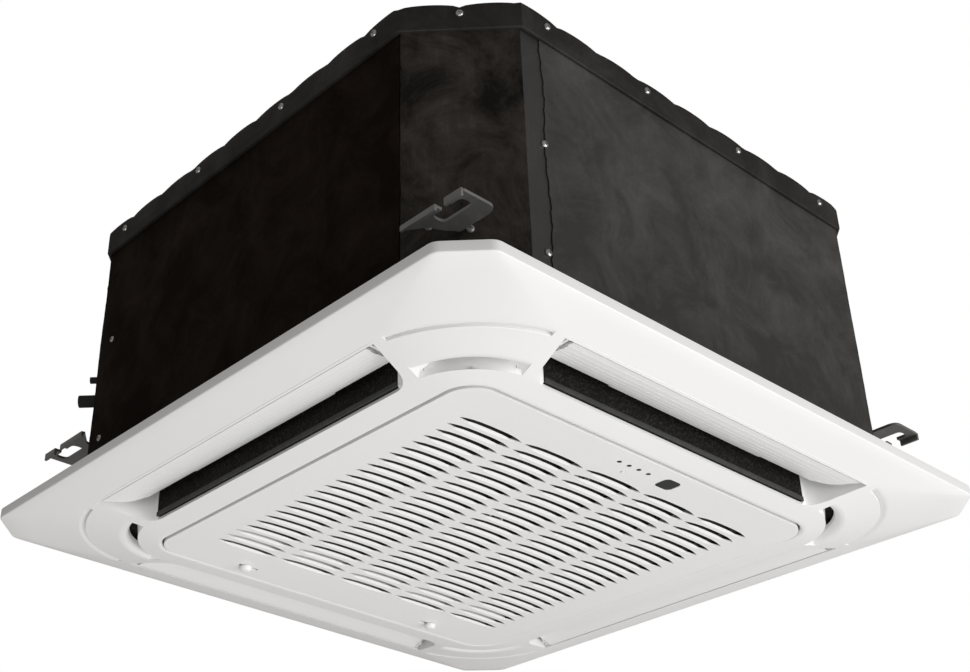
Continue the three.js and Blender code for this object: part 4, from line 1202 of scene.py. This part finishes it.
    def latches(self) -> None:
        """Make the two sliding latches: a round knob with a wedge cut away, on a wider foot."""
        x0, y, _ = self.latch
        top = self.z + self.thick
        dome = ((2.6, -4.9), (4.0, -4.5), (5.1, -3.6), (5.8, -2.2), (6.0, -1.0), (6.0, -0.4))
        for side, name in ((-1, "latch_left"), (1, "latch_right")):
            x = side * x0
            knob = Sculpt().spin([(0.0, -4.9), *dome, (0.0, -0.4)], 40)
            wedge = Sculpt().loft([
                [(side * 1.2, v, -5.6), (side * 7, v, -5.6), (side * 7, v, -2.2)] for v in (-6, 6)
            ])
            knob.cut([wedge]).moved(shift(x, y, self.z))
            knob.with_copy(Sculpt().block((x - 3, y - 1.5, self.z - 1), (x + 3, y + 1.5, top + 1)))
            knob.with_copy(Sculpt().block((x - 14, y - 5, top + 0.4), (x + 14, y + 11, top + 1.9), 0.4))
            Piece(name + "_knob", name, Finish.WHITE, "white_plastic", (name,), 25.0, 0.2).build(knob)

    def filter_clips(self) -> None:
        """Make the small hooks that hold the filter, seen through two slots."""
        clips = Sculpt()
        for y in (-137.0, -32.5):
            for lean in (-1, 1):
                near, far = -11.0 + lean * 7, -11.0 + lean * 4
                low, high = y - 3.6, y + 3.6
                ring = [(near - 1.4, low), (near + 1.0, low), (far + 1.4, high), (far - 1.0, high)]
                clips.with_copy(Sculpt().prism(ring, -25.6, -21.6))
        Piece("filter_clips", "grille", Finish.WHITE, "white_plastic").build(clips)


# ---------------------------------------------------------------- body


@dataclass
class InsulatedBody:
    """The insulated body: sheets glued on each face, a folded band, its screws (mm).

    The band's section is (inset, height, rise), where the rise is how far it goes up in its scallops. The
    sheets start further left on the back and left faces, which have no strip at their corner.
    """

    half: float = 285.0
    corner: float = 216.0
    bottom: float = 22.0
    top: float = 283.0
    base: float = 284.1
    band_out: float = 288.7
    band_low: float = 259.5
    band_top: float = 287.0
    scallop: Point2 = (50.0, 25.0)
    sheet_left: Point2 = (-194.0, -214.5)
    sheet_thick: float = 1.3
    screw_z: float = 276.0
    screw_sink: float = 0.1
    band_screws: tuple[float, ...] = (-188.0, -63.0, 63.0, 188.0)
    seam_screws: tuple[Point2, ...] = ((-195.3, 153.6), (-198.6, 50.4))

    def reach(self, half: float) -> float:
        """Half the length of a side where the sides are that far out."""
        return self.corner + (half - self.half) * math.tan(math.pi / 8)

    def wrap(self) -> Sculpt:
        """The wall of the jacket."""
        rings = []
        low, high, inside = self.bottom, self.top, self.half - 3.6
        for half, z in ((self.base, low), (self.base, high), (inside, high), (inside, low)):
            corner = self.reach(half)
            rings.append(lifted(four_sides([(half, corner), (corner, half)], 1), z))
        return Sculpt().loft(rings, torus=True)

    def rough_sheet(self, x0: float, x1: float, depth: float, seed: float, ragged: Point2) -> Sculpt:
        """A sheet on the front face between two upright edges, each torn a little.

        Args:
            x0: left edge.
            x1: right edge.
            depth: how far its face stands out, from the middle of the body.
            seed: moves the tear along.
            ragged: size of the tear on the left and right edge.

        Returns:
            The sheet.
        """
        made = Sculpt()
        grid = bmesh.ops.create_grid(made.bm, x_segments=22, y_segments=60, size=0.5)["verts"]
        low, high = self.bottom - 1.5, self.band_low + 6
        for vert in grid:
            u, v = vert.co.x + 0.5, vert.co.y + 0.5
            z = low + (high - low) * v
            left = x0 + ragged[0] * self.tear(z, seed)
            right = x1 + ragged[1] * self.tear(z, seed + 41)
            x = left + (right - left) * u
            puff = 0.35 * math.sin(x * 0.031 + seed) * math.sin(z * 0.043 + seed * 2)
            vert.co = Vector((x, -depth - puff, z)) * MM
        made.bm.normal_update()
        bmesh.ops.solidify(made.bm, geom=made.bm.faces[:], thickness=self.sheet_thick * MM)
        return made.outward()

    def tear(self, z: float, seed: float) -> float:
        """A torn edge's wander at a height."""
        slow = math.sin(z * 0.055 + seed) * 0.8
        return slow + math.sin(z * 0.31 + seed * 3.1) * 0.35 + math.sin(z * 0.83 + seed * 1.7) * 0.25

    def band_ring(self, inset: float, height: float, rise: float) -> list[Point3]:
        """A ring round the band, which rises between the cusps of its scallops."""
        out = self.band_out - inset
        side = self.reach(out)
        pitch, start = self.scallop
        points = []
        for x, y in line((-side, -out), (side, -out), 72):
            wave = abs(math.sin(math.pi * (x + start) / pitch))
            points.append((x, y, height + rise * math.sqrt(wave)))
        for i, (x, y) in enumerate(line((side, -out), (out, -side), 20)):
            wave = abs(math.sin(math.tau * i / 20))
            points.append((x, y, height + rise * math.sqrt(wave)))
        return [tuple(quarter(turn) @ Vector(point)) for turn in range(4) for point in points]

    def band(self) -> Sculpt:
        """The band folded over the top edge, scalloped between its screws."""
        top, low = self.band_top, self.band_low
        section = (
            (0.9, low, 0.0), (0.1, low + 0.7, 0.0), (0.0, low + 2.0, 0.0), (0.0, top - 6.4, 0.0),
            (0.2, top - 4.6, 3.0), (1.0, top - 3.6, 3.7), (2.6, top - 3.0, 4.1), (6.0, top - 1.6, 2.4),
            (22.0, top + 0.6, 0.0), (22.0, top - 2.0, 0.0), (3.4, top - 5.4, 0.0), (3.4, low, 0.0),
        )
        return Sculpt().loft([self.band_ring(*stop) for stop in section], torus=True)

    def screw(self) -> Sculpt:
        """A pan-head screw with a cross recess, its axis along -Y, its seat at the origin."""
        dome = ((3.4, 0.0), (3.4, 0.35), (3.1, 1.2), (2.4, 1.85), (1.3, 2.2))
        head = Sculpt().spin([(0.0, 0.0), *dome, (0.0, 2.3)], 28)
        for x, y in ((1.7, 0.38), (0.38, 1.7)):
            head.cut([Sculpt().block((-x, -y, 1.0), (x, y, 3.0))])
        return head.moved(Matrix.Rotation(math.pi / 2, 4, "X"))

    def screws(self) -> Sculpt:
        """All the screws of the band and of the seams."""
        made = Sculpt()
        one = self.screw()
        far = (self.band_out + self.reach(self.band_out)) / math.sqrt(2)
        for side in range(4):
            for k, x in enumerate(self.band_screws):
                spot = quarter(side) @ shift(x, self.screw_sink - self.band_out, self.screw_z + k % 2)
                made.with_copy(one, spot @ Matrix.Rotation(0.4 * k + side, 4, "Y"))
            made.with_copy(one, quarter(side + 0.5) @ shift(0, self.screw_sink - far, self.screw_z))
            for x, z in self.seam_screws:
                made.with_copy(one, quarter(side) @ shift(x, -self.base - 0.2, z))
        return made

    def build(self) -> None:
        """Make the body's outside."""
        wrap = Piece("jacket_wrap", "unit", Finish.STRIP, "black_insulation", ("insulation_jacket",), 25.0)
        wrap.build(self.wrap())
        sheets = {finish: Sculpt() for finish in (Finish.JACKET_LIT, Finish.JACKET_SHADED, Finish.JACKET_HALF_LIT)}
        depth = (self.half + self.corner) / math.sqrt(2) + 0.3
        width = (self.half - self.corner) / math.sqrt(2) - 0.8
        # Painted light and shade: the front and right faces, towards the key light, get the lit copy, the
        # back and left faces the shaded copy, and the cut corners the in-between copy.
        for side, finish in enumerate((Finish.JACKET_LIT, Finish.JACKET_LIT, Finish.JACKET_SHADED, Finish.JACKET_SHADED)):
            left = self.sheet_left[0 if finish is Finish.JACKET_LIT else 1]
            sheet = self.rough_sheet(left, self.corner - 0.6, self.half + 0.2, 3.0 + side * 7, (1.6, 0.4))
            sheets[finish].with_copy(sheet, quarter(side))
            chamfer = self.rough_sheet(-width, width, depth, 11.0 + side * 5, (0.5, 0.5))
            sheets[Finish.JACKET_HALF_LIT].with_copy(chamfer, quarter(side + 0.5))
        for finish, sheet in sheets.items():
            name = "sheets_" + finish.name.lower()
            Piece(name, "unit", finish, "black_insulation", (), 40.0).build(sheet)
        fold = Piece("band_fold", "unit", Finish.BAND, "black_insulation", ("top_band",), 38.0)
        fold.build(self.band())
        Piece("band_screws", "unit", Finish.SCREW, "steel_shaft", (), 30.0).build(self.screws())


@dataclass
class HangerBracket:
    """A hanger bracket at a cut corner: flange, slotted tab and turned-down lip (mm).

    Its outline goes round the tab at the front left corner, after the round corner that it starts with.
    """

    z: float = 62.5
    sheet: float = 2.5
    flange: float = 246.8
    start: tuple[Point2, ...] = ((-288.5, -287.0), (-287.5, -288.0))
    round_corner: tuple[Point2, ...] = ((-263.0, -288.0), (-254.5, -288.0), (-254.5, -279.0))
    outline: tuple[Point2, ...] = (
        (-254.5, -249.0), (-265.0, -242.0), (-276.0, -237.0), (-287.0, -222.0), (-288.5, -222.0),
    )
    lip: Point2 = (-290.9, -288.3)
    lip_parts: tuple[Point3, ...] = ((-288.0, -265.0, 4.6), (-265.0, -222.0, 3.0))
    mouth: tuple[Point2, Point2] = ((-296.0, -270.0), (-277.0, -260.0))
    flange_box: tuple[Point3, Point3] = ((-31.0, -2.5, 2.5), (31.0, 0.0, 38.0))
    slot_middle: Point2 = (-277.3, -265.0)
    slot_half: Point2 = (6.0, 16.0)
    slot_straight: float = 0.75
    screws: tuple[Point3, ...] = ((-248.3, -253.3, 65.6), (-270.3, -231.3, 68.7))

    def slot(self) -> list[Point2]:
        """The slot's outline: straight for a share of its length, with round ends."""
        x, y = self.slot_middle
        w, h = self.slot_half
        points: list[Point2] = []
        for u, v in ((-w, -h), (w, -h), (w, h), (-w, h)):
            side, bend, end = (x + u, y + v * self.slot_straight), (x + u, y + v), (x, y + v)
            points += curve(side, bend, end, 5) if u * v > 0 else curve(end, bend, side, 5)
        return points

    def tab(self) -> Sculpt:
        """The tab with its open slot, the two parts of its lip and its flange."""
        top = self.z + self.sheet
        outline = [*self.start, *curve(*self.round_corner, 8), *self.outline]
        near, far = self.mouth
        mouth = Sculpt().block((*near, self.z - 20), (*far, self.z + 20), 1.2)
        outer, inner = self.lip
        lips = [
            Sculpt().block((outer, y0, self.z - deep), (inner, y1, top), 0.7)
            for y0, y1, deep in self.lip_parts
        ]
        made = Sculpt().prism(outline, self.z, top)
        made.cut([Sculpt().prism(self.slot(), self.z - 3, self.z + 6)]).cut(lips, "UNION").cut([mouth])
        spot = shift(-self.flange, -self.flange, self.z) @ quarter(-0.5)
        return made.with_copy(Sculpt().block(*self.flange_box), spot)

    def build(self, body: InsulatedBody) -> None:
        """Make the four brackets and the screws beside their tabs."""
        screws = Sculpt()
        one = body.screw()
        for k, name in enumerate(CORNERS):
            mirrored = Matrix.Scale(-1, 4, (1, 0, 0)) if k % 2 else Matrix.Identity(4)
            spot = quarter(2 * (k // 2)) @ mirrored
            node = "hanger_bracket_" + name
            plate = Piece(node + "_plate", "unit", Finish.ZINC, "galvanised_steel", (node,), 30.0, 0.5)
            plate.build(self.tab().moved(spot))
            for place in self.screws:
                screws.with_copy(one, spot @ shift(*place) @ quarter(-0.5))
        Piece("bracket_screws", "unit", Finish.ZINC, "galvanised_steel").build(screws)


# ---------------------------------------------------------------- inside


@dataclass
class AirMover:
    """The bellmouth, the turbo fan and its motor, seen when the grille hangs open (mm)."""

    outer: float = 150.0
    bottom: float = 92.0
    top: float = 216.0
    blades: int = 7
    throat: float = 98.0
    throat_z: Point2 = (96.0, 54.3)
    flare: Point2 = (40.0, 36.0)
    rim: tuple[Point2, ...] = ((171.5, 16.4), (171.5, 17.9), (152.0, 18.0))
    bore: float = 6.4
    hub: tuple[Point2, ...] = ((68.0, -2.4), (60.0, -5.0), (50.0, -20.0), (44.0, -32.0), (38.0, -34.0))
    ring: tuple[Point2, ...] = ((111.0, 0.0), (114.0, 3.4), (121.0, 8.0), (135.0, 15.4), (150.0, 22.0))

    def bellmouth(self) -> Sculpt:
        """The flared inlet ring."""
        top, bend = self.throat_z
        inside, outside = [], []
        for i in range(13):
            c, s = polar(1.0, 90 * i / 12)
            r, z = self.throat + self.flare[0] * (1 - c), bend - self.flare[1] * s
            inside.append((r, z))
            outside.append((r + 2.0 * c, z + 2.0 * s + 0.2))
        profile = [(self.throat, top), *inside, *self.rim, *reversed(outside), (self.throat + 2, top)]
        return Sculpt().spin(profile, 72)

    def impeller(self) -> Sculpt:
        """The hub, the ring and the blades."""
        bore, top = self.bore, self.top
        disc = [(bore, top), (self.outer, top), (self.outer, top - 2.2)]
        made = Sculpt().spin([*disc, *((r, top + z) for r, z in self.hub), (bore, top - 34)], 64)
        ring = [(r, self.bottom + z) for r, z in self.ring]
        back = [(r - 0.8, z + 2.2) for r, z in reversed(ring)]
        made.with_copy(Sculpt().spin([*ring, *back], 64))
        for k in range(self.blades):
            made.with_copy(self.blade(), quarter(4 * k / self.blades))
        return made

    def blade(self) -> Sculpt:
        """A backward-curved blade from the hub disc to the ring."""
        rings = []
        steps = 14
        high = self.top - 1.5
        for i in range(steps + 1):
            t = i / steps
            radius = 65 + 82 * t
            angle = -52 * t ** 0.9
            half = math.degrees(max(0.5, 4.2 * math.sin(math.pi * (0.12 + 0.76 * t))) / radius / 2 * 1.6)
            low = self.bottom + (42 - 34 * min(1.0, t * 2.0) if radius < 112 else 6 + (radius - 112) * 0.5)
            ahead, behind = polar(radius, angle + half), polar(radius, angle - half)
            rings.append([(*ahead, low), (*ahead, high), (*behind, high), (*behind, low)])
        return Sculpt().loft(rings)

    def build(self) -> None:
        """Make the moving air parts."""
        bellmouth = Piece("bellmouth_ring", "unit", Finish.WHITE_INNER, "white_plastic", ("bellmouth",), 30.0)
        bellmouth.build(self.bellmouth())
        impeller = Piece("impeller", "turbo_fan", Finish.WHITE_INNER, "white_plastic", ("turbo_fan",), 30.0)
        impeller.build(self.impeller())


NODE_FINISHES: dict[Finish, tuple[str, ...]] = {
    Finish.STEEL: ("casing", "control_box", "control_box_cover"),
    Finish.FOAM: ("wall_foam", "drain_pan", "duct_foam"),
    Finish.FINS: ("heat_exchanger",),
    Finish.RUBBER: ("gas_pipe", "liquid_pipe", "cable_grommet"),
    Finish.BRASS: ("gas_flare_nut", "liquid_flare_nut"),
    Finish.MOTOR: ("fan_motor",),
    Finish.WHITE_INNER: ("terminal_block", "float_ring"),
    Finish.DARK: (
        "drain_pump", "float_switch", "drain_spigot",
        *(part + side for side in SIDES for part in ("vane_motor_", "vane_bush_")),
    ),
    Finish.NET: ("air_filter",),
    Finish.BOARD: ("display_board",),
    Finish.SCREW: ("hinge_pin_left", "hinge_pin_right"),
}


def outlet_seals() -> None:
    """Make the grey strips along the inner edges of the outlets."""
    for side, name in enumerate(SIDES):
        strip = Sculpt().block((-161, -240, -26.3), (161, -238.7, -22.0), 0.3).moved(quarter(side))
        seal = "outlet_seal_" + name
        Piece(seal + "_strip", "unit", Finish.SEAL, "grey_seal", (seal,)).build(strip)


def finish_nodes() -> None:
    """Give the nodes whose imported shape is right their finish."""
    for finish, names in NODE_FINISHES.items():
        for name in names:
            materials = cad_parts[name].data.materials
            materials.clear()
            materials.append(Dresser.get(finish))
            log.info("%s finished as %s", name, finish.name.lower())


# ---------------------------------------------------------------- studio


@dataclass
class Studio:
    """Camera, backdrop and soft lights (metres), with the picture's measures in pixels."""

    position: Point3 = (-0.90208, -0.91224, -0.57317)
    azimuth: float = -40.88
    elevation: float = -31.78
    roll: float = 0.34
    focal: float = 1516.34
    middle: Point2 = (384.79, 303.0)
    picture: Point2 = (970.0, 672.0)
    ambient: float = 0.265
    glow: Colour = (1.0, 0.965, 0.935)
    floor_z: float = -2.4
    target: Point3 = (0.0, 0.0, 0.1)
    lights: tuple[tuple[str, Point3, float, float], ...] = (
        ("key", (1.1, -2.6, -0.9), 2.2, 60.0),
        ("under", (-0.4, -0.5, -2.3), 2.4, 43.5),
        ("behind", (1.6, 2.0, 1.8), 2.0, 36.0),
    )

    def camera(self) -> None:
        """Place the camera where the photograph was taken from."""
        width, height = self.picture
        data = bpy.data.cameras.new("camera")
        data.sensor_width = 36.0
        data.sensor_fit = "HORIZONTAL"
        data.lens = self.focal / width * data.sensor_width
        data.shift_x = (width / 2 - self.middle[0]) / width
        data.shift_y = (self.middle[1] - height / 2) / width
        data.clip_start, data.clip_end = 0.05, 50.0
        a, e = math.radians(self.azimuth), math.radians(self.elevation)
        back = Vector((math.sin(a) * math.cos(e), -math.cos(a) * math.cos(e), math.sin(e)))
        right = Vector((math.cos(a), math.sin(a), 0.0))
        up = back.cross(right)
        c, s = polar(1.0, self.roll)
        right, up = right * c + up * s, up * c - right * s
        made = bpy.data.objects.new("camera", data)
        axes = Matrix((right, up, back)).transposed().to_4x4()
        made.matrix_world = Matrix.Translation(self.position) @ axes
        bpy.context.scene.collection.objects.link(made)
        bpy.context.scene.camera = made

    def light(self, name: str, place: Point3, size: float, power: float) -> None:
        """A soft square light that faces the object."""
        data = bpy.data.lights.new(name, "AREA")
        data.size = size
        data.energy = power
        made = bpy.data.objects.new(name, data)
        made.location = place
        made.rotation_mode = "QUATERNION"
        made.rotation_quaternion = (Vector(self.target) - Vector(place)).to_track_quat("-Z", "Y")
        bpy.context.scene.collection.objects.link(made)

    def world(self) -> None:
        """A white surround that lights the object more softly than it looks."""
        world = bpy.data.worlds.new("surround")
        world.use_nodes = True
        tree = world.node_tree
        shown = tree.nodes["Background"]
        shown.inputs["Color"].default_value = (1.0, 1.0, 1.0, 1.0)
        shown.inputs["Strength"].default_value = 1.0
        glow = tree.nodes.new("ShaderNodeBackground")
        glow.inputs["Color"].default_value = (*self.glow, 1.0)
        glow.inputs["Strength"].default_value = self.ambient
        path = tree.nodes.new("ShaderNodeLightPath")
        mixer = tree.nodes.new("ShaderNodeMixShader")
        tree.links.new(path.outputs["Is Camera Ray"], mixer.inputs[0])
        tree.links.new(glow.outputs[0], mixer.inputs[1])
        tree.links.new(shown.outputs[0], mixer.inputs[2])
        tree.links.new(mixer.outputs[0], tree.nodes["World Output"].inputs["Surface"])
        bpy.context.scene.world = world

    def floor(self) -> None:
        """A plain pale floor well below the camera."""
        made = Sculpt()
        bmesh.ops.create_grid(made.bm, x_segments=1, y_segments=1, size=6.0)
        mesh = made.moved(Matrix.Translation((0, 0, self.floor_z))).mesh("floor")
        nodes = Nodes("pale_floor")
        colour = nodes.mix(nodes.noise(nodes.place(), 2.0), (0.80, 0.80, 0.80), (0.84, 0.84, 0.84))
        mesh.materials.append(nodes.set(Base_Color=colour, Roughness=0.8))
        floor = bpy.data.objects.new("floor", mesh)
        bpy.context.scene.collection.objects.link(floor)

    def build(self) -> None:
        """Set up the view."""
        scene = bpy.context.scene
        scene.view_settings.view_transform = "Standard"
        scene.view_settings.look = "None"
        self.camera()
        self.world()
        self.floor()
        for light in self.lights:
            self.light(*light)


def main() -> None:
    """Build everything in order."""
    logging.basicConfig(level=logging.INFO, format="%(message)s")
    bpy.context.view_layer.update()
    Studio().build()
    body = InsulatedBody()
    CeilingPanel().build()
    AirVane().build()
    IntakeGrille().build()
    body.build()
    HangerBracket().build(body)
    AirMover().build()
    outlet_seals()
    finish_nodes()


if __name__ == "__main__":
    main()
